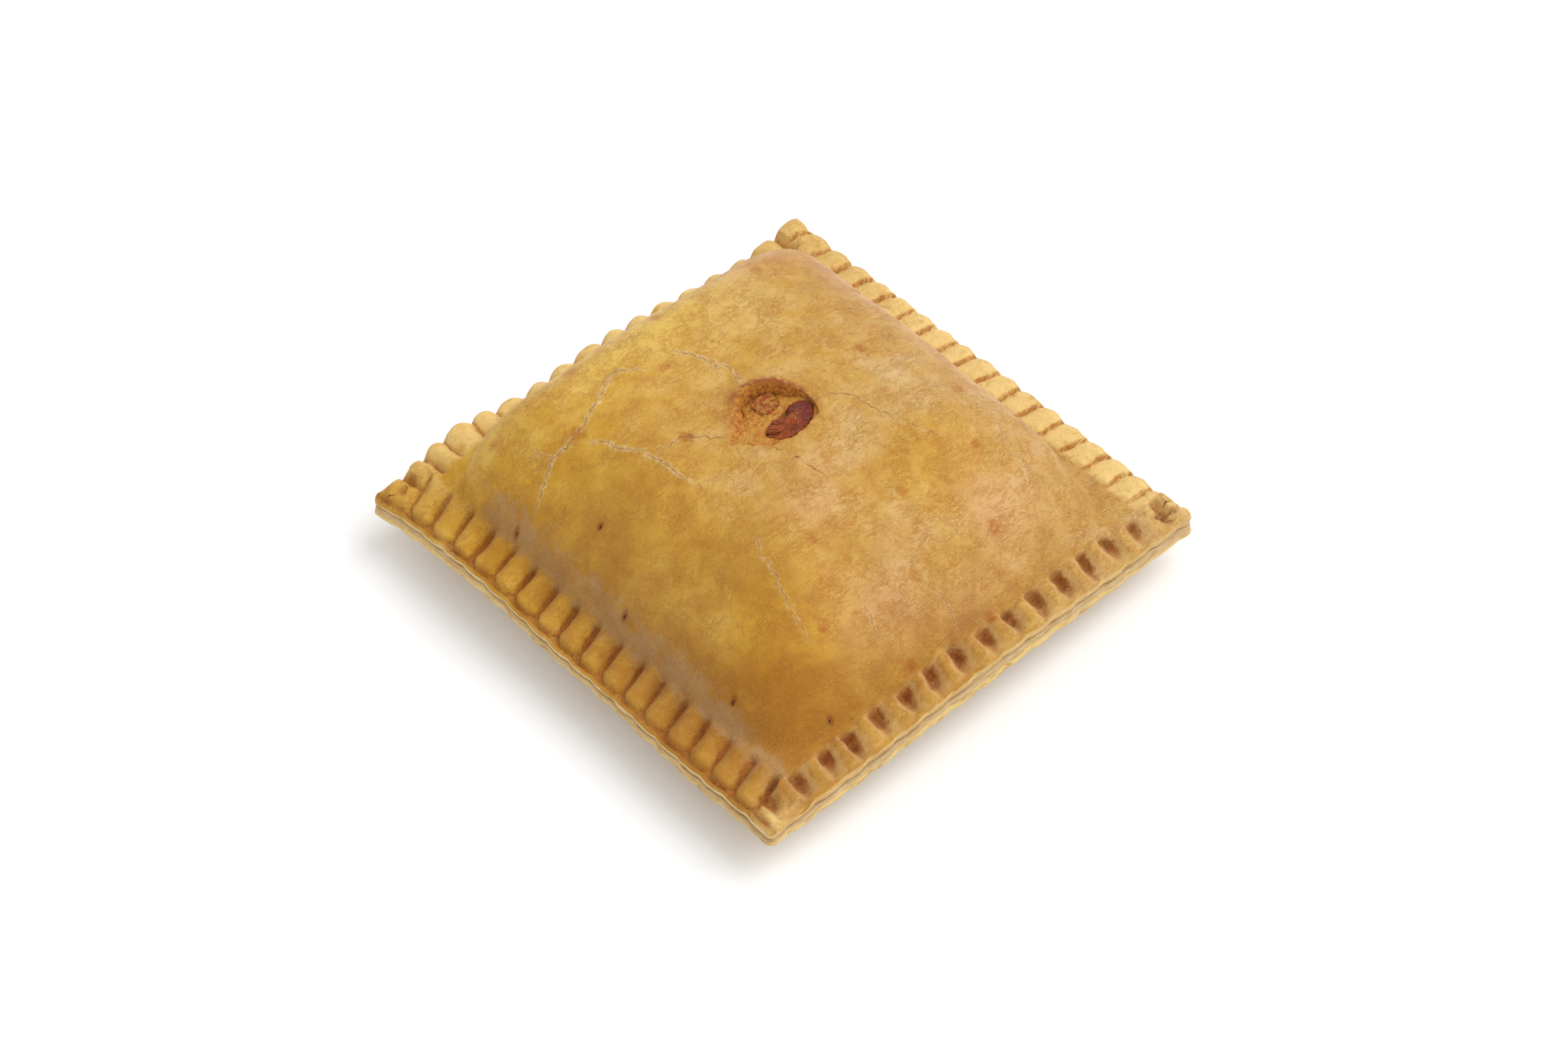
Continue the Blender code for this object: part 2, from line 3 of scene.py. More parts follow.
import bpy
import numpy as np
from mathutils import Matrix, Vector


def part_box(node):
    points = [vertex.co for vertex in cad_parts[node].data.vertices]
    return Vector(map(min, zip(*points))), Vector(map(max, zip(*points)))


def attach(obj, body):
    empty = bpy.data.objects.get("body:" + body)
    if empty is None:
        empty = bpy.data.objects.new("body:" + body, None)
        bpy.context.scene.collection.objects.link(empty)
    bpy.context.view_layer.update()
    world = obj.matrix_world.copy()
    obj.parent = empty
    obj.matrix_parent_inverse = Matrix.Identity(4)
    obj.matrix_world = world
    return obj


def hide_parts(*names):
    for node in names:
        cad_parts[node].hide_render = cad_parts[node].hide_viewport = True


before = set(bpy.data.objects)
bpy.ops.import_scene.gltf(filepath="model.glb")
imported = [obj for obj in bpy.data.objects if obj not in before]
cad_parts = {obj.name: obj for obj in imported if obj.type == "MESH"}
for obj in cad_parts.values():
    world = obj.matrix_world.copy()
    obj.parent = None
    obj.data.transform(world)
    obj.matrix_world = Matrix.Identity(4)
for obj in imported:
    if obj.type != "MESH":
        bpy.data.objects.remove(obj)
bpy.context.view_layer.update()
mm = 0.001

# All shapes are worked out in millimetres on the flat sheet: u to the right, v to the back, the
# middle at 0. Sides are numbered anticlockwise from the front right one. Along a side t runs
# anticlockwise from its middle, and d runs inwards from its edge.
pastry = dict(
    half=65.0, tipRadius=2.0, tipReach=7.0, tipPull=(0.6, 0.6, 1.3, 1.9),
    rimTop=14.5, rimWidth=12.6, liftFade=22.0, grooveJitter=0.35, grooveSeed=11,
    sheet=2.8, upperEdge=2.9, lowerEdge=2.3, floorSheet=3.2, seam=0.55,
    deepest=2.45, domeHeight=26.0, crown=1.6, topSquareness=2.3,
    footSquareness=(5.0, 5.0, 3.0, 4.5), footSoft=0.045, wave=0.45,
    baseRadius=16.0, bellyStart=9.0, baseStart=24.0, dishStart=12.6, dishEnd=27.0,
    smoothTip=(-62.6, -60.6, 9),         # u, v, radius squared: crimps fade out at the front tip,
    paleTip=(-62.5, -62.5, 14), brownTip=(-62, 60, 80),      # which is paler, the left tip browner
)

half = pastry["half"]

# A pad's crest lies nearer the groove before it where early is under 1, and round near 0 makes it
# flat with narrow grooves. atLip is the share of a groove's depth that is left at the edge, tip
# the length over which a pad's outer end is rounded, and ragged how torn the grooves are. lip is
# the fall of the rim to its edge and how far in that starts. lifts, bows (outwards), thins (what
# the lower sheet's edge loses) and flares (of its bottom) are hills (height, middle, run). tints
# says how brown hollows and creases are painted, browning with painted shade in them, and how pale
# pads and banks, partly the dough's colour and partly painted light. lipLine is a brown line
# (place, width, strength) inside the lip, and cream how pale the cut edge is.
sides = (
    dict(first=-59.2, pitch=7.95, count=16, lean=0.24, deep=2.45, early=1.12, round=1.25,
         atLip=0.45, begin=-0.4, end=9.8, beginRun=3.0, endRun=1.5, notch=0.35, puff=0.7,
         valley=0.0, ragged=0.8, lip=(0.45, 1.3), lifts=((1.4, 2, 48),), bows=(), foot=9.0,
         wall=(40, 42), power=0.75, thins=((1.2, -65, 22),), flares=((0.35, 5, 48),),
         tints=(1.0, 0.0, 0.1, 0.4), lipLine=(0.5, 0.3, 0.15), cream=0.3),
    dict(first=-59.7, pitch=7.02, count=18, lean=0.15, deep=1.25, early=0.5, round=0.6,
         atLip=1.0, begin=-1.5, end=10.2, beginRun=1.5, endRun=3.2, notch=0.55, puff=0.5,
         valley=0.1, lip=(0.7, 2.0), lifts=((0.9, 0, 62), (0.5, 35, 25)), bows=(), foot=11.0,
         wall=(40, 21), power=0.5, thins=(), flares=(),
         tints=(0.2, 0.75, 1.0, 0), lipLine=(0.5, 0.4, 0.35), cream=0.7),
    dict(first=-56.6, pitch=7.88, count=14, more=(51.6, 57.2), lean=0.0, deep=2.1, early=1.0,
         round=0.75, atLip=1.0, begin=-1.5, end=9.2, beginRun=1.5, endRun=2.5, notch=0.6,
         puff=0.4, valley=0.1, lip=(0.8, 2.2), lifts=((3.4, 0, 48), (5.4, 42, 25), (1.5, -62, 20)),
         bows=((1.0, 0, 58), (0.8, 46, 20)), foot=10.5, wall=(17, 10), power=0.5,
         thins=(), flares=(),
         tints=(0.25, 0.55, 0.9, 0), lipLine=(0.5, 0.4, 0.35), cream=0.7),
    dict(first=-57.6, pitch=7.15, count=17, lean=-0.33, deep=2.5, early=0.88, round=0.75,
         atLip=0.6, begin=0.6, end=12.4, beginRun=2.0, endRun=1.8, notch=0.35, puff=0.5,
         valley=0.6, tip=2.8, lip=(1.5, 3.2), lifts=((2.0, -30, 32),), bows=((0.5, 38, 24),),
         foot=11.5, wall=(26, 40), power=0.7, thins=((1.6, 8, 62), (1.3, 65, 26)), flares=(),
         tints=(0.82, 0.4, 0, 0), lipLine=(1.35, 0.8, 0.95), cream=0.8),
)

vent = dict(
    centre=(-0.5, 4.2),
    corners=((-37, 10.6), (-4, 9.8), (20, 8.9), (50, 9.5), (84, 9.7), (130, 9.1), (160, 9.8),
             (170, 10.8), (179, 12.3), (188, 11.0), (200, 9.8), (212, 9.3), (222, 9.3),
             (250, 8.1), (292, 8.8)),            # bearing, radius
    lipHeight=1.5, lipSpread=3.4, lipBearing=50.0,
    gap=(1.95, 0.16),                    # bearing and width of the dark gap under the wall, radians
    floorDepth=1.3,                      # the filling below the crust in the vent's middle
    floors=((-37, 0.45), (-4, 0.65), (20, 1.6), (50, 2.9), (84, 3.2), (125, 2.9), (150, 1.7),
            (178, 0.7), (218, 0.35), (292, 0.35)),              # and at its edge
    walls=((-37, 0.3), (5, 0.5), (50, 1.0), (95, 1.5), (125, 3.0), (160, 3.2), (190, 1.8),
           (210, 0.3), (292, 0.2)),                  # bearing, how far the torn wall leans in
)


def smooth(value, low, high):
    # 3q^2 - 2q^3 of the share q of the way from low to high
    q = np.clip((value - low) / (high - low), 0, 1)
    return q * q * (3 - 2 * q)


def bell(distance, width=1.0):
    # exp(-(distance / width)^2)
    return np.exp(-((distance / width) ** 2))


def blob(u, v, x, y, area):
    # exp(-distance^2 / area) from the place (x, y)
    return np.exp(-((u - x) ** 2 + (v - y) ** 2) / area)


def hills(t, heights):
    # sum of height * cos^2 of the distance from the middle, a quarter turn at the run
    total = np.zeros(np.shape(t))
    for height, middle, run in heights:
        total = total + height * np.cos(np.clip((t - middle) / run, -1, 1) * math.pi / 2) ** 2
    return total


def softNoise(x, y, seed):
    # seeded heights from -1 to 1 at whole numbers, joined by smoothstep both ways
    table = np.random.default_rng(seed).uniform(-1, 1, (97, 97))
    column, row = np.floor(x).astype(int), np.floor(y).astype(int)
    a, b = smooth(x - column, 0, 1), smooth(y - row, 0, 1)
    here, after, low, high = column % 97, (column + 1) % 97, row % 97, (row + 1) % 97
    near = table[here, low] * (1 - a) + table[after, low] * a
    far = table[here, high] * (1 - a) + table[after, high] * a
    return near * (1 - b) + far * b


def grain(u, v, size, seed):
    return softNoise(u / size, v / size, seed)


def sideFrame(u, v, turn):
    # (t, d) of a point seen from side number turn: a quarter turn for each side
    for _ in range(turn):
        u, v = v, -u
    return u, v + half


def eachSide(u, v):
    # each side's number and values, and the points' (t, d) as seen from it
    for turn, side in enumerate(sides):
        yield (turn, side, *sideFrame(u, v, turn))


def grooveMiddles(turn):
    # even spacing and a seeded unevenness
    side = sides[turn]
    uneven = np.random.default_rng(pastry["grooveSeed"] + turn)
    jitter = uneven.uniform(-pastry["grooveJitter"], pastry["grooveJitter"], side["count"])
    even = side["first"] + side["pitch"] * np.arange(side["count"]) + jitter
    return np.concatenate([even, side.get("more", ())])


groovePlaces = [grooveMiddles(turn) for turn in range(4)]
grooveStrength = [np.random.default_rng(50 + turn).uniform(0.8, 1.12, len(places))
                  for turn, places in enumerate(groovePlaces)]


def crimp(u, v, turn):
    # Depth of one side's crimps. Between two grooves a pad rises and falls as
    # sin(pi * q^early)^round, where q is the share of the way from the groove before; with a tip
    # its outer end is rounded over that length. Also the distance from the nearest groove and
    # how much of the band's width has faded in.
    side = sides[turn]
    t, d = sideFrame(u, v, turn)
    wobble = (0.2 if "tip" in side else 0.5) * softNoise(t / 5.0, d / 4.0, 70 + turn)
    wobble = wobble + side.get("ragged", 0) * 0.35 * softNoise(t / 1.7, d / 1.7, 80 + turn)
    along = t - side["lean"] * (d - pastry["rimWidth"] / 2) + wobble
    places = groovePlaces[turn]
    middles = np.concatenate([[places[0] - side["pitch"]], places, [places[-1] + side["pitch"]]])
    strength = np.concatenate([[0.3], grooveStrength[turn], [0.3]])
    k = np.clip(np.searchsorted(middles, along), 1, len(middles) - 1)
    since, until = along - middles[k - 1], middles[k] - along
    q = np.clip(since / (since + until), 0, 1)
    pad = np.sin(math.pi * q ** side["early"])
    if "tip" in side:
        rounding = np.clip((1.0 + side["tip"] - d) / side["tip"], 0, 1)
        pad = np.sqrt(np.clip(pad**2 - rounding**2, 0, 1))
    pad = pad ** side["round"]
    power = strength[k - 1] * (1 - q) + strength[k] * q
    d = d + side.get("ragged", 0) * softNoise(t / 4.2, d / 5.0, 84 + turn)
    band = smooth(d, side["begin"], side["begin"] + side["beginRun"])
    band = band * (1 - smooth(d, side["end"] - side["endRun"], side["end"]))
    deep = side["deep"] * power * (side["atLip"] + (1 - side["atLip"]) * smooth(d, 1.5, 7.5))
    depth = np.minimum(deep * (1 - pad), pastry["deepest"]) - side["puff"] * pad
    nearest = np.abs(along[..., None] - places).min(axis=-1)
    return depth * band, nearest, band


def crimps(u, v):
    # the deepest of the four sides' grooves, and the marks of the side with the most band there
    depth, nearest, band = crimp(u, v, 0)
    for turn in (1, 2, 3):
        otherDepth, otherNearest, otherBand = crimp(u, v, turn)
        closer = np.where(otherBand > 0.3, otherNearest, 9) < np.where(band > 0.3, nearest, 9)
        depth = np.where(np.abs(otherDepth) > np.abs(depth), otherDepth, depth)
        nearest = np.where(closer, otherNearest, nearest)
        band = np.where(closer, otherBand, band)
    return depth * (1 - 0.85 * blob(u, v, *pastry["smoothTip"])), nearest, band


outwards = ((0, -1), (1, 0), (0, 1), (-1, 0))        # in plan, for each side


def roundTips(u, v, corner, radius):
    # a square's corners rounded: beyond the corner's places a quarter circle by sqrt(1 - b^2 / 2)
    a = np.clip((np.abs(u) - corner) / radius, 0, 1)
    b = np.clip((np.abs(v) - corner) / radius, 0, 1)
    return (np.where(a > 0, np.sign(u) * (corner + radius * a * np.sqrt(1 - b * b / 2)), u),
            np.where(b > 0, np.sign(v) * (corner + radius * b * np.sqrt(1 - a * a / 2)), v))


def outline(u, v):
    # Round tips, bowed sides, drawn corners, and a notch in the edge at every groove.
    x, y = roundTips(u, v, half - pastry["tipRadius"], pastry["tipRadius"])
    for turn, side, t, d in eachSide(u, v):
        out = hills(t, side["bows"]) * bell(d, pastry["liftFade"])
        nearest = np.abs(t[..., None] - groovePlaces[turn]).min(axis=-1)
        out = out - side["notch"] * np.exp(-((nearest / 1.3) ** 2) - (d / 3.0) ** 2)
        x, y = x + out * outwards[turn][0], y + out * outwards[turn][1]
    for (right, back), pull in zip(((-1, -1), (1, -1), (1, 1), (-1, 1)), pastry["tipPull"]):
        near = pull * blob(u, v, right * half, back * half, pastry["tipReach"] ** 2)
        near = near / math.sqrt(2)
        x, y = x + right * near, y + back * near
    return x, y


def notches(u, v, x, y):
    # the rounding of the upper edge and a seeded unevenness of it
    for turn, _, t, d in eachSide(u, v):
        pull = 0.22 * (1 - smooth(d, 0, 0.9))
        pull = pull + 0.16 * (1 + softNoise(t / 2.6, turn, 90)) * bell(d, 2.0)
        x, y = x - pull * outwards[turn][0], y - pull * outwards[turn][1]
    return x, y


def rimLevel(u, v):
    # the rim's height with its raised stretches, each dying away as exp(-(d / liftFade)^2)
    z = np.full(np.shape(u), pastry["rimTop"])
    for _, side, t, d in eachSide(u, v):
        z = z + hills(t, side["lifts"]) * bell(d, pastry["liftFade"])
    return z


def seamLevel(u, v):
    # the height of the upper sheet's underside along the rim
    return rimLevel(u, v) - pastry["upperEdge"]


def lipFall(u, v):
    # the rim's fall to its cut edge, drop * (1 - d / run)^2, the larger of two at a corner, and
    # a shallow valley, exp(-((d - 1.3) / 0.6)^2), just inside it
    fall = np.zeros(np.shape(u))
    for _, side, t, d in eachSide(u, v):
        drop, run = side["lip"]
        valley = side["valley"] * bell(d - 1.3, 0.6)
        valley = valley * (1 + 0.4 * softNoise(t / 3.0, 5, 91))
        fall = np.maximum(fall, drop * np.clip(1 - d / run, 0, 1) ** 2 + valley)
    return fall


def edgeHills(u, v, kind):
    # the largest of the sides' hills of one kind, fading inwards as exp(-(d / 4)^2)
    most = np.zeros(np.shape(u))
    for _, side, t, d in eachSide(u, v):
        most = np.maximum(most, hills(t, side[kind]) * bell(d, 4.0))
    return most


def mound(u, v):
    # Share of the dome's height: (1 - e^2)^power, where e joins the four walls' remaining reach
    # as a superellipse, squarer at the foot than near the top, eased in at the foot.
    reach = []
    power = weight = 1e-9
    for _, side, t, d in eachSide(u, v):
        run = side["wall"][0] + (side["wall"][1] - side["wall"][0]) * np.clip(t / 130 + 0.5, 0, 1)
        reach.append(np.clip(1 - (d - side["foot"]) / run, 0, None))
        power = power + side["power"] * reach[-1] ** 4
        weight = weight + reach[-1] ** 4
    across, along = np.maximum(reach[1], reach[3]), np.maximum(reach[0], reach[2])
    right, back = u / 130 + 0.5, v / 130 + 0.5
    frontLeft, frontRight, backRight, backLeft = pastry["footSquareness"]
    foot = (frontLeft * (1 - right) + frontRight * right) * (1 - back)
    foot = foot + (backLeft * (1 - right) + backRight * right) * back
    low = (across**foot + along**foot) ** (1 / foot)
    high = (across ** pastry["topSquareness"] + along ** pastry["topSquareness"])
    high = high ** (1 / pastry["topSquareness"])
    e = high + (low - high) * np.clip(low, 0, 1) ** 2
    ease = 1 - np.exp(-np.clip(1 - e, 0, None) / pastry["footSoft"])
    return np.clip(1 - e * e, 0, None) ** (power / weight) * ease


def bearingBlend(bearing, corners):
    # a value at each bearing, by a cosine blend between the corners given in degrees
    angles = np.radians([a for a, _ in corners] + [corners[0][0] + 360])
    values = np.array([r for _, r in corners] + [corners[0][1]])
    around = np.mod(bearing - angles[0], 2 * math.pi) + angles[0]
    k = np.clip(np.searchsorted(angles, around, side="right") - 1, 0, len(corners) - 1)
    share = (around - angles[k]) / (angles[k + 1] - angles[k])
    return values[k] + (values[k + 1] - values[k]) * (1 - np.cos(math.pi * share)) / 2


def ventRadius(bearing):
    # the vent's outline, with a torn edge of about 0.3 mm
    ragged = softNoise(bearing * 7.0 + 40, 0, 31) * 0.22
    ragged = ragged + softNoise(bearing * 17.0 + 80, 0, 32) * 0.12
    seam = 0.5 - 0.5 * np.cos(np.clip(np.mod(bearing, 2 * math.pi) / 0.3, 0, 1) * math.pi)
    return bearingBlend(bearing, vent["corners"]) + ragged * seam


def fromVent(u, v):
    du, dv = u - vent["centre"][0], v - vent["centre"][1]
    return np.hypot(du, dv), np.arctan2(dv, du)


def ventPlace(bearing, away):
    return vent["centre"][0] + away * np.cos(bearing), vent["centre"][1] + away * np.sin(bearing)


def ventEdge(u, v):
    # how far beyond the vent's edge, and from 1 to 0 how near the torn lip's bearing
    away, bearing = fromVent(u, v)
    facing = 0.5 + 0.5 * np.cos(bearing - math.radians(vent["lipBearing"]))
    return away - ventRadius(bearing), facing


def tornLip(u, v):
    # the back of the vent is torn up: lipHeight * facing^1.5 * exp(-(beyond / lipSpread)^2)
    beyond, facing = ventEdge(u, v)
    return vent["lipHeight"] * facing ** 1.5 * bell(beyond, vent["lipSpread"])


def baked(u, v):
    # the smooth baked surface without crimps: rim level and dome blended by the mound's share
    x, y = outline(u, v)
    share = mound(u, v)
    waves = (np.sin(u / 7.5 + 0.6) * np.cos(v / 6.1 - 0.4) + 0.8 * np.sin((u + 1.7 * v) / 13 + 2.1)
             + 0.6 * np.cos((1.3 * u - v) / 9))
    top = pastry["rimTop"] + pastry["domeHeight"] + pastry["wave"] * waves
    top = top - pastry["crown"] * (u * u + v * v) / half ** 2
    return np.stack([x, y, rimLevel(u, v) * (1 - share) + top * share], axis=-1), share


def beneath(u, v, depth):
    # points a depth below the baked surface along its normal, by differences 0.4 mm apart
    step = 0.4
    here = baked(u, v)[0]
    across = baked(u + step, v)[0] - baked(u - step, v)[0]
    along = baked(u, v + step)[0] - baked(u, v - step)[0]
    normal = np.cross(across, along)
    normal = normal / np.linalg.norm(normal, axis=-1, keepdims=True)
    return here - normal * np.asarray(depth)[..., None]


# Marks of the bake on the top sheet, as the photo shows them: cracks (strength, width of the pale
# ridge, places along it), rusty spots (u, v, radius) and the docker's holes.
bakeMarks = dict(
    cracks=(
        (1.0, 1.0, ((-49.7, 28.3), (-44.3, 30.3), (-40.1, 31.9), (-33.5, 31.1), (-24.6, 34.6),
                    (-16.0, 38.3), (-7.4, 31.9))),
        (0.7, 0.9, ((-40.7, 36.9), (-40.1, 31.9))),
        (1.0, 1.1, ((-33.0, 28.5), (-31.6, 23.9), (-27.6, 15.4), (-26.3, 9.2), (-25.9, -0.4))),
        (1.0, 0.6, ((-26.4, 14.1), (-22.0, 12.6), (-17.7, 12.8), (-12.8, 7.0), (-12.4, 4.6))),
        (1.0, 1.1, ((-2.5, 34.9), (0.2, 29.5), (3.5, 22.1), (2.7, 18.2), (0.6, 13.6))),
        (0.9, 0.3, ((-7.2, -2.2), (-4.9, -8.8), (-3.8, -17.1))),
        (0.8, 0.5, ((9.4, 1.6), (13.5, 0.6), (17.4, -3.4), (18.5, -14.8), (22.8, -24.2),
                    (27.4, -28.9))),
        (0.7, 0.9, ((-25.7, -17.7), (-29.4, -27.5), (-31.1, -35.4), (-32.3, -43.3))),
        (0.6, 0.8, ((-16.0, -41.4), (-18.8, -50.2))),
        (0.6, 0.8, ((-1.3, -44.1), (0.4, -50.3), (1.4, -54.7))),
        (0.5, 0.7, ((31.7, 37.2), (33.3, 25.7))),
        (0.5, 0.7, ((11.0, 36.5), (2.6, 30.6))),
        (0.5, 0.4, ((-12.5, 3.2), (-14.0, -4.0), (-17.5, -8.5))),
        (1.0, 0.1, ((-63.6, 63.2), (-61.8, 61.2), (-60.2, 60.6), (-58.5, 61.6))),
        (1.4, 0.3, ((64.4, -58.8), (62.2, -57.9), (60.3, -58.7), (59.6, -61.5), (59.8, -63.9))),
        (1.2, 0.3, ((60.2, -58.8), (58.2, -59.8), (57.2, -62.3))),
    ),
    spots=((-22.7, 45.7, 2.0), (2.4, 44.7, 1.8), (-44.9, 46.2, 1.5), (-33.7, 31.3, 2.2),
           (-7.0, 32.1, 1.6), (-18.2, 12.7, 1.5), (29.3, 41.1, 1.8), (29.4, 6.9, 1.7),
           (46.9, 25.5, 1.6), (38.6, -15.8, 1.6), (6.9, -29.2, 1.5), (-17.1, -26.2, 1.6),
           (-28.1, -41.6, 1.6), (-3.0, -43.9, 1.5), (20.4, -45.3, 1.9), (-13.3, -54.8, 1.4),
           (9.2, -56.2, 1.4), (29.5, -29.8, 1.3)),
    dents=((-57.0, 62.2, 1.7, 1.0), (-60.4, 60.4, 1.3, 0.8), (-59.4, 63.8, 1.6, -0.5),
           (-54.2, 62.6, 2.0, -0.4), (60.2, -60.0, 1.6, 0.6), (63.4, -58.2, 1.2, 0.4),
           (57.5, 58.5, 1.6, 0.5), (-61.9, -61.7, 2.6, -0.6)),    # u, v, radius, depth
    holes=((-52.1, 31.5), (-43.6, 12.4), (-50.8, -3.3), (-49.3, -36.8), (-36.6, -53.0),
           (47.8, -25.0)),
)


def wander(points, seed):
    # a crack's path: extra places every 1.2 mm between the given ones, pushed sideways at random
    points = np.array(points)
    travelled = np.concatenate([[0], np.cumsum(np.linalg.norm(np.diff(points, axis=0), axis=1))])
    at = np.linspace(0, travelled[-1], max(3, int(travelled[-1] / 1.2)))
    path = np.stack([np.interp(at, travelled, points[:, k]) for k in (0, 1)], axis=1)
    push = np.random.default_rng(seed).normal(0, 0.33, path.shape)
    push[[0, -1]] = 0
    return path + push


crackPaths = [(strength, ridge, wander(points, 300 + k))
              for k, (strength, ridge, points) in enumerate(bakeMarks["cracks"])]


def crackMarks(u, v):
    # Signed distance to the nearest crack, its strength, which fades at both ends, and its ridge's
    # width. The distance is to the nearest of the straight pieces between a path's places.
    best = np.full(u.shape, 9.0)
    strength = np.zeros(u.shape)
    ridge = np.ones(u.shape)
    for power, width, path in crackPaths:
        low, high = path.min(axis=0) - 4, path.max(axis=0) + 4
        near = np.nonzero((u > low[0]) & (u < high[0]) & (v > low[1]) & (v < high[1]))[0]
        if not len(near):
            continue
        place = np.stack([u[near], v[near]], axis=1)[:, None, :]
        start, run = path[:-1][None], np.diff(path, axis=0)[None]
        share = np.clip(((place - start) * run).sum(-1) / (run**2).sum(-1), 0, 1)
        gap = place - start - run * share[..., None]
        away = np.hypot(gap[..., 0], gap[..., 1])
        k = away.argmin(axis=1)
        pick = np.arange(len(near)), k
        side = np.sign(run[0, k, 0] * gap[pick][:, 1] - run[0, k, 1] * gap[pick][:, 0])
        along = (k + share[pick]) / run.shape[1]
        ends = smooth(along, -0.02, 0.12) * (1 - smooth(along, 0.8, 1.0))
        closer = away[pick] < np.abs(best[near])
        chosen = near[closer]
        best[chosen] = (away[pick] * np.where(side == 0, 1, side))[closer]
        strength[chosen] = (power * ends)[closer]
        ridge[chosen] = width
    return best, strength, ridge


def nearestOf(u, v, places):
    # distance to the nearest of some places, each divided by its own radius
    gaps = [np.hypot(u - x, v - y) / radius for x, y, radius in places]
    return np.minimum.reduce(gaps)


relief = dict(       # heights in mm; (height, size, seed) for the uneven surface
    crackRidge=0.07, crackCleft=0.07, spotPit=0.12, holeDish=0.25, holePit=0.8,
    uneven=((0.13, 6.5, 21), (0.05, 2.3, 22)), fine=(0.035, 1.1, 23), inGrooves=(0.32, 0.95, 24),
)


def crustTop(u, v):
    # The top sheet's upper face, point by point, with every mark that its finish needs.
    point, share = baked(u, v)
    x, y = notches(u, v, point[:, 0], point[:, 1])
    depth, nearest, band = crimps(u, v)
    line, power, ridge = crackMarks(u, v)
    spot = nearestOf(u, v, bakeMarks["spots"])
    hole = nearestOf(u, v, [(a, b, 1.0) for a, b in bakeMarks["holes"]])
    away = np.abs(line)
    crumble = 0.6 + 0.5 * grain(u, v, 0.9, 41)
    raised = relief["crackRidge"] * power * ridge * bell(away - 0.5, 0.6) * crumble
    cleft = relief["crackCleft"] * power * bell(away, 0.28)
    pitted = relief["spotPit"] * bell(spot) + relief["holeDish"] * bell(hole, 1.3)
    pitted = pitted + relief["holePit"] * bell(hole, 0.42)
    dent = sum(deep * blob(u, v, a, b, size**2) for a, b, size, deep in bakeMarks["dents"])
    uneven = sum(high * grain(u, v, size, seed) for high, size, seed in relief["uneven"])
    high, size, seed = relief["fine"]
    uneven = uneven + high * grain(u, v, size, seed) * (1 + band)
    high, size, seed = relief["inGrooves"]
    rough = high * grain(u, v, size, seed) * np.clip(depth / 2, 0, 1)
    sunk = np.minimum(depth + lipFall(u, v) + rough, pastry["upperEdge"] - 0.3)
    z = point[:, 2] - sunk * (1 - share) + tornLip(u, v)
    z = z + raised - cleft - pitted + uneven - dent
    marks = dict(groove=nearest, pressed=depth, dent=np.clip(dent, 0, None), spot=spot,
                 band=band * (1 - share), crackLine=line, crackPower=power, crackRidge=ridge,
                 hole=hole, dome=share)
    return np.stack([x, y, z], axis=1), marks


def crowdedPlaces(count, low, high, centres, pull, reach):
    # count + 1 places from low to high at equal steps of the running sum of a density, which is
    # 1 plus a bell of height pull at each centre
    fine = np.linspace(low, high, 6000)
    bells = np.exp(-(((fine[:, None] - np.asarray(centres)) / reach) ** 2)).sum(axis=1)
    density = 1 + pull * bells
    total = np.concatenate([[0], np.cumsum((density[1:] + density[:-1]) / 2)])
    return np.interp(np.linspace(0, total[-1], count + 1), total, fine)


crustCells = dict(rim=34, middle=212, holeLow=(75, 84), holeCells=61, collar=24, wall=10, edge=8)
rimPlaces = crowdedPlaces(crustCells["rim"], 0, pastry["rimWidth"], [0.0, 9.5], 1.3, 1.2)


def sidePlaces(turn=None):
    # places along a side: both corners' strips, and the middle crowded at the steep flanks
    reach = half - pastry["rimWidth"]
    strip = -half + rimPlaces[:-1]
    if turn is None:
        middle = np.linspace(-reach, reach, crustCells["middle"] + 1)
    else:
        side = sides[turn]
        steep = groovePlaces[turn] + 0.3 * np.sign(1 - side["early"])
        steep = steep[np.abs(steep) < reach - 1]
        middle = crowdedPlaces(crustCells["middle"], -reach, reach, steep, 1.4, 0.8)
    return np.concatenate([strip, middle, -strip[::-1]])


def sheetGrid():
    # (u, v) of a grid over the whole sheet: along each side its lines follow that side's own
    # places, leaning with the grooves, and they even out 12 mm beyond the crimped band.
    even = sidePlaces()
    columns = sidePlaces(0), -sidePlaces(2)[::-1]
    rows = sidePlaces(1), -sidePlaces(3)[::-1]
    width = pastry["rimWidth"]

    def hold(distance):
        return 1 - smooth(distance, width, width + 12)

    fromLow, fromHigh = even + half, half - even
    still = 1 - smooth(np.abs(even), 44, half - width)
    slant = np.clip(fromLow, 0, width) - width / 2
    u = even[:, None] + hold(fromLow)[None, :] * (columns[0] - even)[:, None]
    u = u + hold(fromHigh)[None, :] * (columns[1] - even)[:, None]
    u = u + sides[0]["lean"] * (slant * hold(fromLow))[None, :] * still[:, None]
    v = even[None, :] + hold(fromHigh)[:, None] * (rows[0] - even)[None, :]
    v = v + hold(fromLow)[:, None] * (rows[1] - even)[None, :]
    v = v - sides[3]["lean"] * (slant * hold(fromLow))[:, None] * still[None, :]
    return u, v


def squareRing(low, high):
    # the index pairs round a square of grid points, anticlockwise from its low corner
    (i0, j0), (i1, j1) = low, high
    i = np.concatenate([np.arange(i0, i1), np.full(j1 - j0, i1), np.arange(i1, i0, -1),
                        np.full(j1 - j0, i0)])
    j = np.concatenate([np.full(i1 - i0, j0), np.arange(j0, j1), np.full(i1 - i0, j1),
                        np.arange(j1, j0, -1)])
    return i, j


def bands(rings):
    # quads between neighbouring closed rings of equal length, anticlockwise in the first ring
    rings = np.asarray(rings)
    turned = np.roll(rings, -1, axis=1)
    quads = np.stack([rings[:-1], turned[:-1], turned[1:], rings[1:]], axis=-1)
    return quads.reshape(-1, 4)


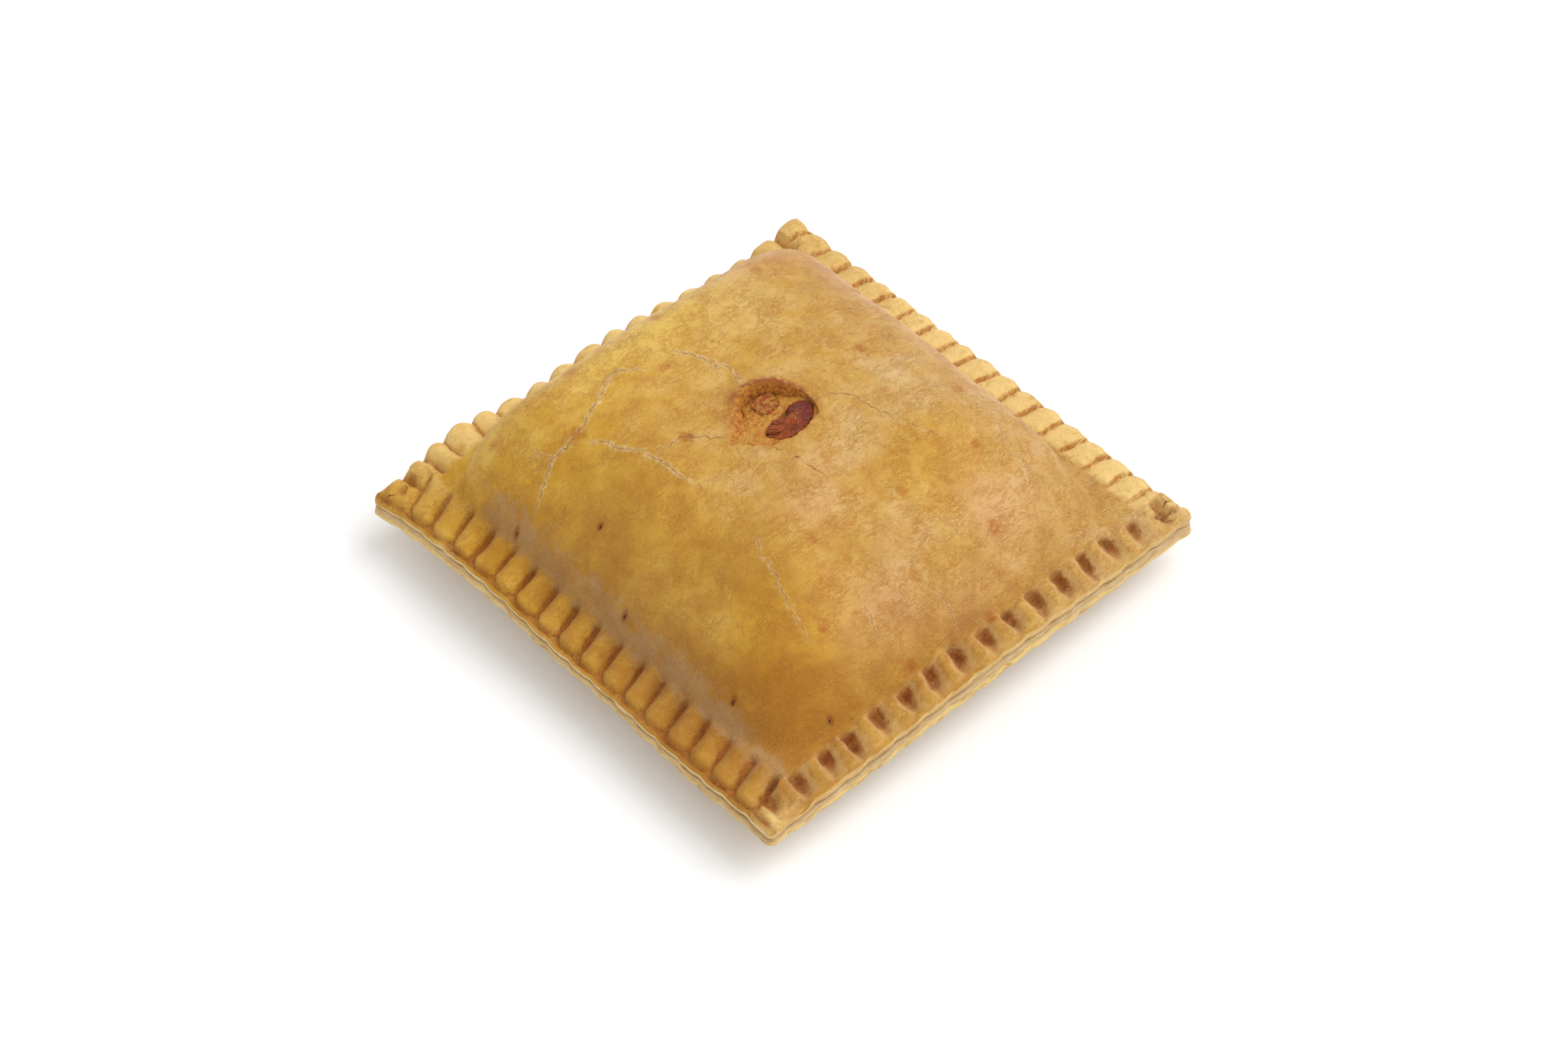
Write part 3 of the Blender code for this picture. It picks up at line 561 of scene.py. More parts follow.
def fan(ring, middle):
    # triangles from a ring to one point
    return np.stack([ring, np.roll(ring, -1), np.full(len(ring), middle)], axis=-1)


def zipRings(coarse, fine):
    # Triangles between a coarse inner ring and a finer outer one: each fine edge goes to the
    # coarse point nearest in share, and a triangle fills in where that point changes.
    k = np.arange(len(fine))
    pick = np.floor((k + 0.5) / len(fine) * len(coarse) + 0.5).astype(int)
    after = np.roll(fine, -1)
    edges = np.stack([coarse[pick % len(coarse)], after, fine], axis=-1)
    step = np.nonzero(np.roll(pick, -1) % len(coarse) != pick % len(coarse))[0]
    fills = np.stack([coarse[pick[step] % len(coarse)], coarse[(pick[step] + 1) % len(coarse)],
                      after[step]], axis=-1)
    return np.concatenate([edges, fills])


def show(name, data):
    thing = bpy.data.objects.new(name, data)
    bpy.context.scene.collection.objects.link(thing)
    return thing


class Pieces:
    # Points, marks and faces of one closed surface, gathered part by part.
    def __init__(self):
        self.points, self.marks, self.quads, self.triangles, self.count = [], [], [], [], 0

    def add(self, points, marks=None):
        self.points.append(points)
        self.marks.append(marks or {})
        self.count += len(points)
        return np.arange(self.count - len(points), self.count)

    def build(self, name, defaults, material):
        points = np.concatenate(self.points)
        quads, triangles = np.concatenate(self.quads), np.concatenate(self.triangles)
        used = np.zeros(len(points), bool)
        used[quads.ravel()] = True
        used[triangles.ravel()] = True
        number = np.cumsum(used) - 1
        mesh = bpy.data.meshes.new(name)
        place = points[used].copy()
        place[:, :2] += planShift
        mesh.from_pydata((place * mm).tolist(), [],
                         number[quads].tolist() + number[triangles].tolist())
        for label, value in defaults.items():
            column = [np.broadcast_to(marks.get(label, value), len(part)).astype(np.float32)
                      for part, marks in zip(self.points, self.marks)]
            layer = mesh.attributes.new(label, "FLOAT", "POINT")
            layer.data.foreach_set("value", np.concatenate(column)[used])
        mesh.shade_smooth()
        mesh.materials.append(material)
        print(name, len(quads) * 2 + len(triangles), "triangles")
        return show(name, mesh)


def settle(piece, node):
    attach(piece, "root")
    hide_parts(node)


def plainOutlineLow():
    # the lowest x and y of the upper sheet's outline before it is centred
    around = np.linspace(-half, half, 2001)
    edge = np.full(2001, -half)
    low = [outline(edge, around)[0].min(), outline(around, edge)[1].min()]
    return np.array(low)


# the CAD centres the whole outline, so every place moves by the same step in plan
upperLow = np.array(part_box("upper_crust")[0][:2]) / mm
planShift = upperLow - plainOutlineLow()
print("plan shift in mm", planShift.round(3))


class Paint:
    # A material's nodes, one short call for each. Inputs are numbers, other nodes' sockets, or the
    # names of the look's colours. The colour is laid on coat by coat.
    def __init__(self, name, look):
        self.look = look
        self.material = bpy.data.materials.new(name)
        self.material.use_nodes = True
        self.tree = self.material.node_tree
        self.shader = self.tree.nodes["Principled BSDF"]
        self.set("Roughness", look["roughness"])
        self.set("Specular IOR Level", look["specular"])
        place = self.node("TexCoord").outputs["Object"]
        self.place = self.vector("SCALE", place, scale=1 / mm)   # in mm

    def set(self, label, value):
        self.shader.inputs[label].default_value = value

    def feed(self, socket, value):
        if isinstance(value, str):
            value = self.look[value]
        if isinstance(value, bpy.types.NodeSocket):
            self.tree.links.new(value, socket)
        elif isinstance(value, tuple) and len(value) == 3 and len(socket.default_value) == 4:
            socket.default_value = (*value, 1.0)
        else:
            socket.default_value = value

    def node(self, kind, inputs=None, **settings):
        node = self.tree.nodes.new("ShaderNode" + kind)
        for label, value in settings.items():
            setattr(node, label, value)
        for label, value in (inputs or {}).items():
            self.feed(node.inputs[label], value)
        return node

    def vector(self, operation, a, b=(0.0, 0.0, 0.0), scale=1.0):
        inputs = {0: a, 1: b, 3: scale}
        return self.node("VectorMath", inputs, operation=operation).outputs[0]

    def math(self, operation, a, b=0.0, c=0.0):
        return self.node("Math", {0: a, 1: b, 2: c}, operation=operation).outputs[0]

    def times(self, a, b):
        return self.math("MULTIPLY", a, b)

    def timesPlus(self, a, b, c):
        return self.math("MULTIPLY_ADD", a, b, c)

    def plus(self, a, b):
        return self.math("ADD", a, b)

    def minus(self, a, b):
        return self.math("SUBTRACT", a, b)

    def mark(self, label):
        return self.node("Attribute", attribute_name=label).outputs["Fac"]

    def noise(self, size, detail=3.0, rough=0.5, warp=0.0, place=None):
        # size is the length of one wave in mm
        inputs = dict(Vector=place or self.place, Scale=1 / size, Detail=detail, Roughness=rough,
                      Distortion=warp)
        return self.node("TexNoise", inputs).outputs["Fac"]

    def drawn(self, angle, across, along):
        # places turned in plan and scaled, so that a pattern on them is drawn out
        inputs = dict(Vector=self.place, Rotation=(0, 0, math.radians(angle)),
                      Scale=(across, along, 1))
        return self.node("Mapping", inputs).outputs[0]

    def layers(self, size, detail, rough, warp, flat, tall=1.0):
        # noise drawn out flat, as dough parts in layers
        place = self.vector("MULTIPLY", self.place, (flat, flat, tall))
        return self.noise(size, detail, rough, warp, place)

    def veins(self, size, width, warp, shift=0.0):
        # 1 on thin lines, where a warped noise passes its middle value
        step = (shift, shift * 0.7, shift * 0.4)
        place = self.vector("ADD", self.drawn(*self.look["flow"]), step)
        away = self.math("ABSOLUTE", self.minus(self.noise(size, 2, 0.5, warp, place), 0.5))
        return self.ease(away, width, 0.0)

    def ease(self, value, low, high, kind="SMOOTHSTEP"):
        inputs = {"Value": value, "From Min": low, "From Max": high}
        return self.node("MapRange", inputs, interpolation_type=kind).outputs[0]

    def mix(self, share, a, b, how="MIX"):
        inputs = {0: share, 6: a, 7: b}
        return self.node("Mix", inputs, data_type="RGBA", blend_type=how).outputs[2]

    def lay(self, coat, share, amount=None):
        # one more coat, where share is 1, and at most by the amount
        if amount is not None:
            share = self.times(share, amount)
        self.colour = self.mix(share, self.colour, coat)

    def finish(self, height, distance, strength, roughness=None):
        # distance is the relief's height in mm
        inputs = dict(Strength=strength, Distance=distance * mm, Height=height)
        self.feed(self.shader.inputs["Base Color"], self.colour)
        self.feed(self.shader.inputs["Normal"], self.node("Bump", inputs).outputs["Normal"])
        if roughness is not None:
            self.feed(self.shader.inputs["Roughness"], roughness)
        return self.material


crustLook = dict(
    caramel=(0.350, 0.142, 0.009), golden=(0.550, 0.300, 0.032), pale=(0.680, 0.452, 0.118),
    straw=(0.80, 0.60, 0.24), orange=(0.480, 0.180, 0.018), brown=(0.225, 0.066, 0.013),
    darkBrown=(0.12, 0.040, 0.010), rust=(0.400, 0.115, 0.012), ridge=(0.80, 0.59, 0.31),
    toast=(0.43, 0.175, 0.022), mauve=(0.410, 0.248, 0.112), rosy=(0.740, 0.430, 0.250),
    cream=(0.76, 0.59, 0.33), wall=(0.58, 0.25, 0.035), crest=(0.32, 0.085, 0.018),
    pad=(0.82, 0.57, 0.205), bank=(0.76, 0.50, 0.22), crackLine=(0.28, 0.085, 0.016),
    leftTint=(1.04, 1.03, 0.90), sheenTint=(1.00, 1.07, 2.6),
    roughness=0.5, specular=0.15, sheen=0.1, sheenRoughness=0.4,
    flow=(43, 0.45, 1.15),               # how the crust's wrinkles run: angle, across, along
)


def paintCrust():
    p = Paint("bakedCrust", crustLook)
    p.set("Sheen Weight", crustLook["sheen"])
    p.set("Sheen Roughness", crustLook["sheenRoughness"])
    band, pressed, groove = p.mark("band"), p.mark("pressed"), p.mark("groove")
    warp = p.minus(p.noise(1.4, 3), 0.5)

    # blotches of a few sizes, from caramel to pale
    middle = p.noise(6.5, 5, 0.62, 0.5)
    tone = p.timesPlus(p.noise(26, 3, 0.55), 0.5, p.times(middle, 0.5))
    # the tone is also lighter towards the back and darker at the front left foot: partly the bake,
    # partly painted light and shade
    tone = p.timesPlus(tone, 1.65, p.minus(p.mark("tan"), 0.325))
    p.colour = p.mix(p.ease(tone, 0.0, 0.5, "LINEAR"), "caramel", "golden")
    p.lay("pale", p.ease(tone, 0.5, 1.0, "LINEAR"))
    # painted whitish sheen: the colour is tinted paler and pinker towards the front right, the side
    # the light comes from
    sheenToRight = p.mark("sheenToRight")
    p.colour = p.mix(1.0, p.colour, p.mix(sheenToRight, "leftTint", "sheenTint"), "MULTIPLY")

    # regions the oven coloured differently
    # pink patches, and a painted pinkish highlight along the dome's right shoulder
    p.lay("rosy", p.mark("rosy"))
    amber = p.timesPlus(middle, 1.1, p.minus(p.mark("amber"), 0.75))
    p.lay("orange", p.ease(amber, 0.0, 0.5), 0.75)
    # the mauve band of painted shade at the foot of the front left wall
    footShadeLevel = p.timesPlus(p.noise(4.5, 5, 0.68), 2.2, p.minus(p.mark("footShade"), 1.6))
    p.lay("mauve", p.ease(footShadeLevel, -0.2, 0.5), 0.8)
    # pads painted paler, most on the back sides: partly the dough's colour, partly painted light
    # where the light falls on them
    p.lay("pad", p.mark("padPale"), p.ease(p.noise(2.4, 3), 0.2, 0.5))

    # wrinkles and hair-fine lines that wander, grains and specks
    plain = p.timesPlus(p.mark("padPale"), -0.8, 1.0)
    grainy = p.times(p.timesPlus(sheenToRight, 0.3, 0.8), plain)
    patches = p.ease(p.noise(8, 3, 0.6), 0.35, 0.62)
    wrinkle = p.times(p.times(p.veins(2.2, 0.06, 1.2), patches), grainy)
    hairs = p.times(p.veins(1.1, 0.10, 1.5, 31), p.ease(p.noise(5, 2), 0.4, 0.6))
    hairs = p.times(hairs, plain)
    fibres = p.noise(0.55, 4, 0.72, 1.6, p.drawn(*crustLook["flow"]))
    p.lay("toast", p.times(p.ease(p.noise(3.4, 5, 0.62, 0.8), 0.52, 0.68), grainy), 0.45)
    p.lay("orange", wrinkle, 0.6)
    p.lay("toast", hairs, 0.55)
    p.lay("toast", p.ease(fibres, 0.54, 0.68), p.times(grainy, 0.6))
    p.lay("straw", p.ease(fibres, 0.46, 0.30), p.times(sheenToRight, 0.55))
    p.lay("brown", p.ease(p.noise(0.9, 3, 0.65), 0.66, 0.71), 0.45)

    # the pads' pale banks, and the hollows between them, dents, and a line along each groove,
    # painted browner the deeper they lie: browning with painted shade
    depth = p.plus(pressed, p.times(warp, 1.3))
    p.lay("bank", p.times(p.ease(depth, -0.6, 0.1), p.mark("bankPale")), band)
    depth = p.plus(depth, p.minus(p.mark("bankPale"), 0.4))
    hollowShade = p.times(p.ease(depth, 0.2, 1.15), p.times(band, p.ease(groove, 4, 2)))
    hollowShade = p.times(hollowShade, p.timesPlus(p.ease(middle, 0.35, 0.6), 0.35, 0.65))
    brownMix = p.mix(p.ease(p.noise(0.9, 4, 0.7), 0.40, 0.62), "brown", "rust")
    p.lay(brownMix, hollowShade, p.mark("hollowBrownShade"))
    p.lay(brownMix, p.ease(p.timesPlus(warp, 0.8, p.mark("dent")), 0.2, 0.8), 0.6)
    creaseShade = p.times(p.ease(p.plus(groove, warp), 0.55, 0.05), band)
    p.lay("rust", creaseShade, p.mark("creaseBrownShade"))

    # cracks: a crumbly pale ridge and a thin brown line, both broken up
    line = p.math("ABSOLUTE", p.plus(p.mark("crackLine"), p.times(warp, 1.5)))
    power = p.mark("crackPower")
    chalk = p.ease(p.minus(p.times(p.mark("crackRidge"), 0.8), line), -0.1, 0.6)
    chalk = p.times(p.times(chalk, p.ease(p.noise(1.3, 6, 0.75, 0.6), 0.36, 0.62)), power)
    p.lay("ridge", chalk, 0.62)
    thin = p.times(p.ease(line, 0.24, 0.06), power)
    thin = p.times(thin, p.ease(p.noise(3.0, 3), 0.36, 0.5))
    thin = p.times(thin, p.timesPlus(p.mark("crackRidge"), -0.6, 1.15))
    p.lay("crackLine", thin)

    # rusty spots, and docker holes painted dark brown: browning with painted shade in their pits
    spot = p.plus(p.mark("spot"), p.times(p.minus(middle, 0.5), 2.2))
    p.lay("rust", p.times(p.ease(spot, 1.4, 0.2), p.ease(p.noise(0.9, 4, 0.7), 0.30, 0.52)), 0.7)
    hole = p.plus(p.mark("hole"), p.times(warp, 0.5))
    p.lay("brown", p.ease(hole, 1.2, 0.5), 0.6)
    p.lay("darkBrown", p.ease(hole, 0.44, 0.28))

    # the cut edge, the brown line inside the lip, the vent's wall and the torn crest
    dough = p.mix(p.ease(p.layers(0.5, 3, 0.6, 0.3, 0.12), 0.45, 0.7), "cream", "golden")
    p.lay(dough, p.mark("cutEdge"))
    p.lay(brownMix, p.mark("lipLine"))
    torn = p.mix(p.ease(p.noise(0.8, 4, 0.65), 0.45, 0.65), "wall", "crest")
    p.lay(torn, p.mark("ventWall"))
    p.lay("crest", p.mark("crest"), p.ease(p.noise(1.6, 4, 0.7), 0.34, 0.56))

    grain = p.noise(0.5, 3, 0.7, 0.5)
    height = p.timesPlus(p.noise(1.6, 4, 0.65, 1.0), 1.4, p.times(grain, 0.5))
    height = p.minus(height, p.times(wrinkle, 0.35))
    height = p.minus(height, p.times(hairs, 0.25))
    height = p.plus(height, p.times(chalk, 0.5))
    height = p.minus(height, p.times(thin, 0.4))
    height = p.minus(height, p.times(fibres, 0.4))
    rough = p.timesPlus(grain, 0.25, crustLook["roughness"] - 0.12)
    rough = p.minus(rough, p.times(p.mark("ventWall"), 0.22))
    return p.finish(height, 0.24, 0.9, rough)


# soft patches of colour and of painted light and shade: the darker ones at the front left foot and
# the front are partly painted shade, the lighter ones at the back partly painted light
blushes = dict(      # soft round patches of the bake: u, v, radius along u, along v, strength
    tan=((-54, -20, 10, 42, -0.28), (-43, -45, 14, 15, -0.40), (-2, -57, 28, 9, -0.24),
         (-8, 48, 48, 13, 0.46), (6, 24, 20, 16, 0.18), (8, -12, 18, 10, 0.24),
         (29, -6, 9, 18, 0.24), (46, 40, 13, 20, -0.38), (-42, 14, 9, 26, -0.12),
         (51, -28, 8, 14, -0.14), (-34, -24, 9, 18, -0.16), (-38, -46, 12, 11, -0.12),
         (-39, -28, 8, 8, 0.24)),
    sallow=((0, 48, 36, 9, 0.24), (-38, 50, 18, 14, 0.8), (17, -31, 14, 11, 0.6),
            (0, -58, 30, 7, 0.5), (-10, -8, 18, 22, -0.32), (-53, -18, 13, 42, -0.34),
            (-4, -42, 12, 8, -0.34), (44, -30, 10, 16, -0.42), (45, 16, 16, 14, -0.8),
            (-36, -40, 12, 13, 0.6), (-18, 16, 16, 12, -0.25)),
    rosy=((51, 22, 7, 28, 0.75), (2, -44, 26, 11, 0.4), (35, 46, 14, 8, 0.45),
          (-10, -18, 10, 9, 0.45), (26, -38, 12, 8, 0.25), (50, -20, 6, 14, 0.35)),
    amber=((-14, -24, 5, 4, 0.26), (-20, -34, 6, 5, 0.28), (-42, -48, 14, 13, 0.3),
           (10, 34, 14, 9, 0.16), (30, 34, 9, 9, 0.2), (-26, 30, 12, 8, 0.12),
           (4, -8, 8, 6, 0.22), (40, -18, 8, 10, 0.22), (48, 2, 7, 9, 0.25)),
)


# where the mauve band of painted shade at the front left foot lies, in mm
footShadeBand = dict(inwards=12.8, width=3.2, strength=0.95, start=(-63, -50), stop=(34, 56))


def crustRegions(u, v):
    # Soft masks of the crust's colour. The tan one lightens and darkens: partly the bake, partly
    # painted light, lighter towards the back and darker at the front left foot. The rosy one is
    # pinker, with a painted pinkish highlight on the right shoulder, amber is more orange, and the
    # mauve band at the foot of the front left wall is painted shade. A painted whitish sheen rises
    # towards the front right, less the sallow patches.
    masks = {kind: sum(strength * np.exp(-(((u - a) / wide) ** 2 + ((v - b) / deep) ** 2))
                       for a, b, wide, deep, strength in blobs) for kind, blobs in blushes.items()}
    # painted light: lighter towards the back
    masks["tan"] += 0.045 * u / half + 0.045 * v / half
    masks["sheenToRight"] = np.clip(smooth(0.73 * u - 0.69 * v, -55, 85) - masks.pop("sallow"), 0, 1)
    blotch = 0.5 + 0.5 * grain(u, v, 11, 61)
    masks["rosy"] = np.clip(masks["rosy"] * blotch * 1.3, 0, 0.8)
    footShade = bell(u + half - footShadeBand["inwards"], footShadeBand["width"]) * smooth(v, *footShadeBand["start"])
    masks["footShade"] = footShadeBand["strength"] * footShade * (1 - smooth(v, *footShadeBand["stop"]))
    return masks


def crimpTints(u, v):
    # the sides' tints, each weighed by exp(-d / 4), with browner pads near the back and left tips
    weight = total = 0
    for _, side, t, d in eachSide(u, v):
        near = np.exp(-d / 4)
        weight = weight + near
        total = total + near[:, None] * np.array(side["tints"])
    total = total / weight[:, None]
    inner = smooth(sideFrame(u, v, 0)[1] + 0.8 * grain(u, v, 2.0, 93), 1.5, 6.5)
    total[:, 0] *= np.where(sideFrame(u, v, 0)[1] < pastry["rimWidth"], 0.4 + 0.6 * inner, 1.0)
    total[:, 2] *= 1 - 0.45 * smooth(v, 15, 60) * smooth(u, 30, 60)
    total[:, 2] *= 1 - 0.7 * blob(u, v, *pastry["brownTip"])
    return dict(zip(("hollowBrownShade", "creaseBrownShade", "padPale", "bankPale"), total.T))


def lipBrown(u, v):
    # how brown the valley inside the lip is, strength * exp(-((d - place) / width)^2)
    total = np.zeros(np.shape(u))
    for turn, side, t, d in eachSide(u, v):
        place, width, strength = side["lipLine"]
        uneven = 0.7 + 0.3 * softNoise(t / 2.2, turn, 92)
        total = np.maximum(total, strength * uneven * bell(d - place, width))
    return np.clip(total, 0, 0.9)


def edgeCream(u, v):
    # the sides' cream, each weighed by exp(-d / 2.5)
    weights = [np.exp(-d / 2.5) for _, _, _, d in eachSide(u, v)]
    return sum(w * side["cream"] for w, side in zip(weights, sides)) / sum(weights)


edgeShape = dict(recess=0.55, flakes=0.10, flakeLength=2.2, wobble=0.2, spacing=0.46)      # in mm


def upperCrust():
    # The sheet's upper face with a collar round the vent, then down the vent's torn wall, out
    # along the underside and up the cut edge: one closed skin.
    cells = crustCells
    skin = Pieces()
    u, v = sheetGrid()
    lines = u.shape[0]

    def top(u, v):
        points, marks = crustTop(u, v)
        beyond, facing = ventEdge(u, v)
        marks.update(crustRegions(u, v))
        marks.update(crimpTints(u, v))
        marks["padPale"] = marks["padPale"] * marks["band"]
        marks["padPale"] = np.maximum(marks["padPale"], 0.9 * blob(u, v, *pastry["paleTip"]))
        marks["crest"] = bell(beyond, 1.5) * (0.03 + 1.3 * facing**2)
        marks["lipLine"] = lipBrown(u, v)
        return points, marks

    ids = skin.add(*top(u.ravel(), v.ravel())).reshape(lines, lines)
    quads = np.stack([ids[:-1, :-1], ids[1:, :-1], ids[1:, 1:], ids[:-1, 1:]], axis=-1)
    low = np.array(cells["holeLow"]) + cells["rim"]
    high = low + cells["holeCells"]
    keep = np.ones((lines - 1, lines - 1), bool)
    keep[low[0]:high[0], low[1]:high[1]] = False
    skin.quads.append(quads[keep])

    # collar: straight lines from the square hole to the vent's edge, closer together near it
    i, j = squareRing(low, high)
    startU, startV = u[i, j], v[i, j]
    bearing = fromVent(startU, startV)[1]
    radius = ventRadius(bearing)
    endU, endV = ventPlace(bearing, radius)
    rings = [ids[i, j]]
    for share in 1 - (1 - np.arange(1, cells["collar"] + 1) / cells["collar"]) ** 1.3:
        rings.append(skin.add(*top(startU + (endU - startU) * share,
                                   startV + (endV - startV) * share)))

    # the torn wall leans in by its bearing's amount, from a rounded edge down to the underside
    edgePoints = skin.points[-1]
    lean = bearingBlend(bearing, vent["walls"])
    inwards = np.stack([-np.cos(bearing), -np.sin(bearing), bearing * 0], axis=1)
    bottom = ventFloor(*ventPlace(bearing, radius - lean - 0.1))[:, 2] - 0.35
    for step in range(1, cells["wall"] + 1):
        share = step / cells["wall"]
        slope = np.sin(share * math.pi / 2) ** 0.8
        ragged = 0.12 * softNoise(bearing * 14 + 60, share * 4, 35)
        point = edgePoints + inwards * (lean * slope + ragged * math.sin(share * math.pi))[:, None]
        point[:, 2] = edgePoints[:, 2] + (bottom - edgePoints[:, 2]) * share**1.1
        rings.append(skin.add(point, dict(ventWall=min(1.0, share * 3 + 0.2),
                                          crest=0.5 * (1 - share))))

    # underside, rings from the vent out to the crimped band
    k = np.arange(4 * cells["holeCells"])
    square = ringPoints(k / len(k), half - pastry["rimWidth"])
    for blend in (0.96, 0.86, 0.65, 0.45, 0.29, 0.18, 0.10, 0.04, 0.0):
        a = square[0] + (endU - square[0]) * blend
        b = square[1] + (endV - square[1]) * blend
        depth = pastry["upperEdge"] + (pastry["sheet"] - pastry["upperEdge"]) * mound(a, b)
        rings.append(skin.add(beneath(a, b, depth)))
    for depth in (pastry["rimWidth"], pastry["rimWidth"] / 2):
        a, b = ringPoints(k / len(k), half - depth)
        rings.append(skin.add(np.column_stack([*outline(a, b), seamLevel(a, b)])))
    skin.quads.append(bands(rings))

    # the cut edge: from the seam up, standing out most below the rounded upper edge
    i, j = squareRing((0, 0), (lines - 1, lines - 1))
    rim = ids[i, j]
    upper = skin.points[0][rim]
    level = seamLevel(u[i, j], v[i, j])
    out = np.stack(outline(u[i, j], v[i, j]), axis=1)
    ahead = np.roll(out, -3, axis=0) - np.roll(out, 3, axis=0)
    normal = np.stack([ahead[:, 1], -ahead[:, 0]], axis=1)
    normal = normal / np.linalg.norm(normal, axis=1, keepdims=True)
    around = np.arange(len(i)) * edgeShape["spacing"]
    cream = edgeCream(u[i, j], v[i, j])
    edges = []
    for step in range(cells["edge"]):
        share = step / cells["edge"]
        recess = edgeShape["recess"] * (1 - share) ** 1.6 + 0.1 * share**5
        flakes = edgeShape["flakes"] * softNoise(around / edgeShape["flakeLength"], share * 5, 44)
        place = out - normal * (recess + 0.08 + flakes)[:, None]
        place = place + (upper[:, :2] - place) * share**6
        z = level + (upper[:, 2] - level) * share
        wobble = edgeShape["wobble"] * softNoise(around / 3.4, 0, 45) * (1 - share)
        edges.append(skin.add(np.column_stack([place, z + wobble]),
                              dict(cutEdge=cream * (1 - 0.5 * smooth(share, 0.8, 1.0)),
                                   padPale=0.4)))
    edges.append(rim)
    skin.quads.append(bands(edges))
    skin.triangles.append(zipRings(rings[-1], edges[0]))

    defaults = dict(groove=9.0, pressed=0.0, band=0.0, crackLine=9.0, crackPower=0.0,
                    crackRidge=1.0, spot=9.0, hole=9.0, tan=0.0, footShade=0.0, rosy=0.0,
                    hollowBrownShade=0.0, creaseBrownShade=0.0, padPale=0.0, bankPale=0.0, cutEdge=0.0,
                    lipLine=0.0, ventWall=0.0, crest=0.0, amber=0.0, dent=0.0, sheenToRight=0.5)
    piece = skin.build("upperCrust", defaults, paintCrust())
    settle(piece, "upper_crust")


def ringPoints(share, half, radius=0.0):
    # Points round a square anticlockwise from its low corner, by share of the way, its corners
    # rounded as the tips are.
    side = np.floor(share * 4).astype(int) % 4
    t = (share * 4 % 1 * 2 - 1) * half
    picks = [side == 0, side == 1, side == 2, side == 3]
    u, v = np.select(picks, [t, half, -t, -half]), np.select(picks, [-half, t, half, -t])
    return roundTips(u, v, half - radius, radius) if radius else (u, v)


def darkGap(bearing):
    # 1 at the back left, where the wall stands clear of the filling and the gap is painted dark as
    # shade
    return bell(bearing - vent["gap"][0], vent["gap"][1])


def ventFloor(u, v):
    # The filling in the vent: the baked surface less a depth, blended by the square of the share
    # of the way from the vent's middle to its edge, diving under the torn wall's foot.
    away, bearing = fromVent(u, v)
    radius = ventRadius(bearing)
    point = baked(u, v)[0]
    edge = bearingBlend(bearing, vent["floors"])
    depth = vent["floorDepth"] + (edge - vent["floorDepth"]) * np.clip(away / radius, 0, 1) ** 2
    lean = bearingBlend(bearing, vent["walls"])
    gap = darkGap(bearing)
    foot = radius - lean + 0.1 + 0.5 * (1 - smooth(lean, 0.3, 0.9)) - 0.9 * gap
    under = pastry["sheet"] + 0.8
    depth = depth + (np.maximum(under, depth + 0.6) - depth) * smooth(away, foot, foot + 1.2)
    point[..., 2] -= depth
    return point


lumpShapes = dict(
    fillingPieceLarge=dict(node="filling_piece_large", place=(2.8, -4.3), half=(7.0, 3.5, 2.0),
                           rise=-0.3, bend=1.2, waist=0.5, turn=6.0, rough=2.2, rows=72,
                           columns=120, seed=72),
    fillingPieceSmall=dict(node="filling_piece_small", place=(2.6, 4.2), half=(3.5, 2.9, 0.7),
                           rise=-0.1, bend=0.0, waist=0.0, turn=30.0, rough=1.7, rows=48,
                           columns=80, seed=48),
)


def lumpMiddle(size):
    u = np.array([vent["centre"][0] + size["place"][0]])
    v = np.array([vent["centre"][1] + size["place"][1]])
    return ventFloor(u, v)[0] + np.array([0, 0, size["rise"]])


def pocket(points):
    # the filling pressed down round the lower half of each lump, an ellipsoid of its size
    for size in lumpShapes.values():
        middle = lumpMiddle(size)
        c, s = math.cos(math.radians(size["turn"])), math.sin(math.radians(size["turn"]))
        x, y = points[:, 0] - middle[0], points[:, 1] - middle[1]
        a = (c * x + s * y) / (size["half"][0] - 0.05)
        b = (c * y - s * x) / (size["half"][1] - 0.05)
        b = b - size["bend"] * a * a / size["half"][1]
        inside = np.clip(1 - a * a - b * b, 0, None)
        low = middle[2] - (size["half"][2] + 0.1) * np.sqrt(inside)
        points[:, 2] = np.where(inside > 0, np.minimum(points[:, 2], low), points[:, 2])
    return points


fillingLook = dict(
    gold=(0.52, 0.25, 0.035), light=(0.66, 0.40, 0.10), orange=(0.46, 0.15, 0.018),
    red=(0.32, 0.055, 0.012), dark=(0.15, 0.045, 0.010), roughness=0.5, specular=0.25,
)


def paintFilling():
    p = Paint("groundFilling", fillingLook)
    tone = p.noise(2.2, 4, 0.65)
    p.colour = p.mix(p.ease(tone, 0.38, 0.62), "orange", "gold")
    p.lay("light", p.ease(p.noise(0.55, 3, 0.7), 0.52, 0.68))
    oily = p.plus(p.mark("oily"), p.times(p.minus(tone, 0.5), 0.8))
    p.lay("red", p.ease(oily, 0.35, 0.8), 0.75)
    p.lay("dark", p.ease(p.noise(0.9, 3, 0.6), 0.62, 0.7), 0.6)
    # painted shade: dark where the filling runs under the torn wall and the crust
    p.lay("dark", p.mark("under"))
    return p.finish(p.plus(p.noise(0.7, 3, 0.65), p.times(tone, 0.8)), 0.5, 0.8)


bed = dict(
    inset=14.4, corner=18.0, around=200,     # its outline in plan: how far in, how round, points
    gap=0.7,                                 # from the dough
    grit=((0.16, 0.8, 51), (0.22, 2.1, 52)),                 # height, size, seed
    oily=(1.6, 3.9, 3.4),                    # the oily patch from the vent's middle, its radius
)


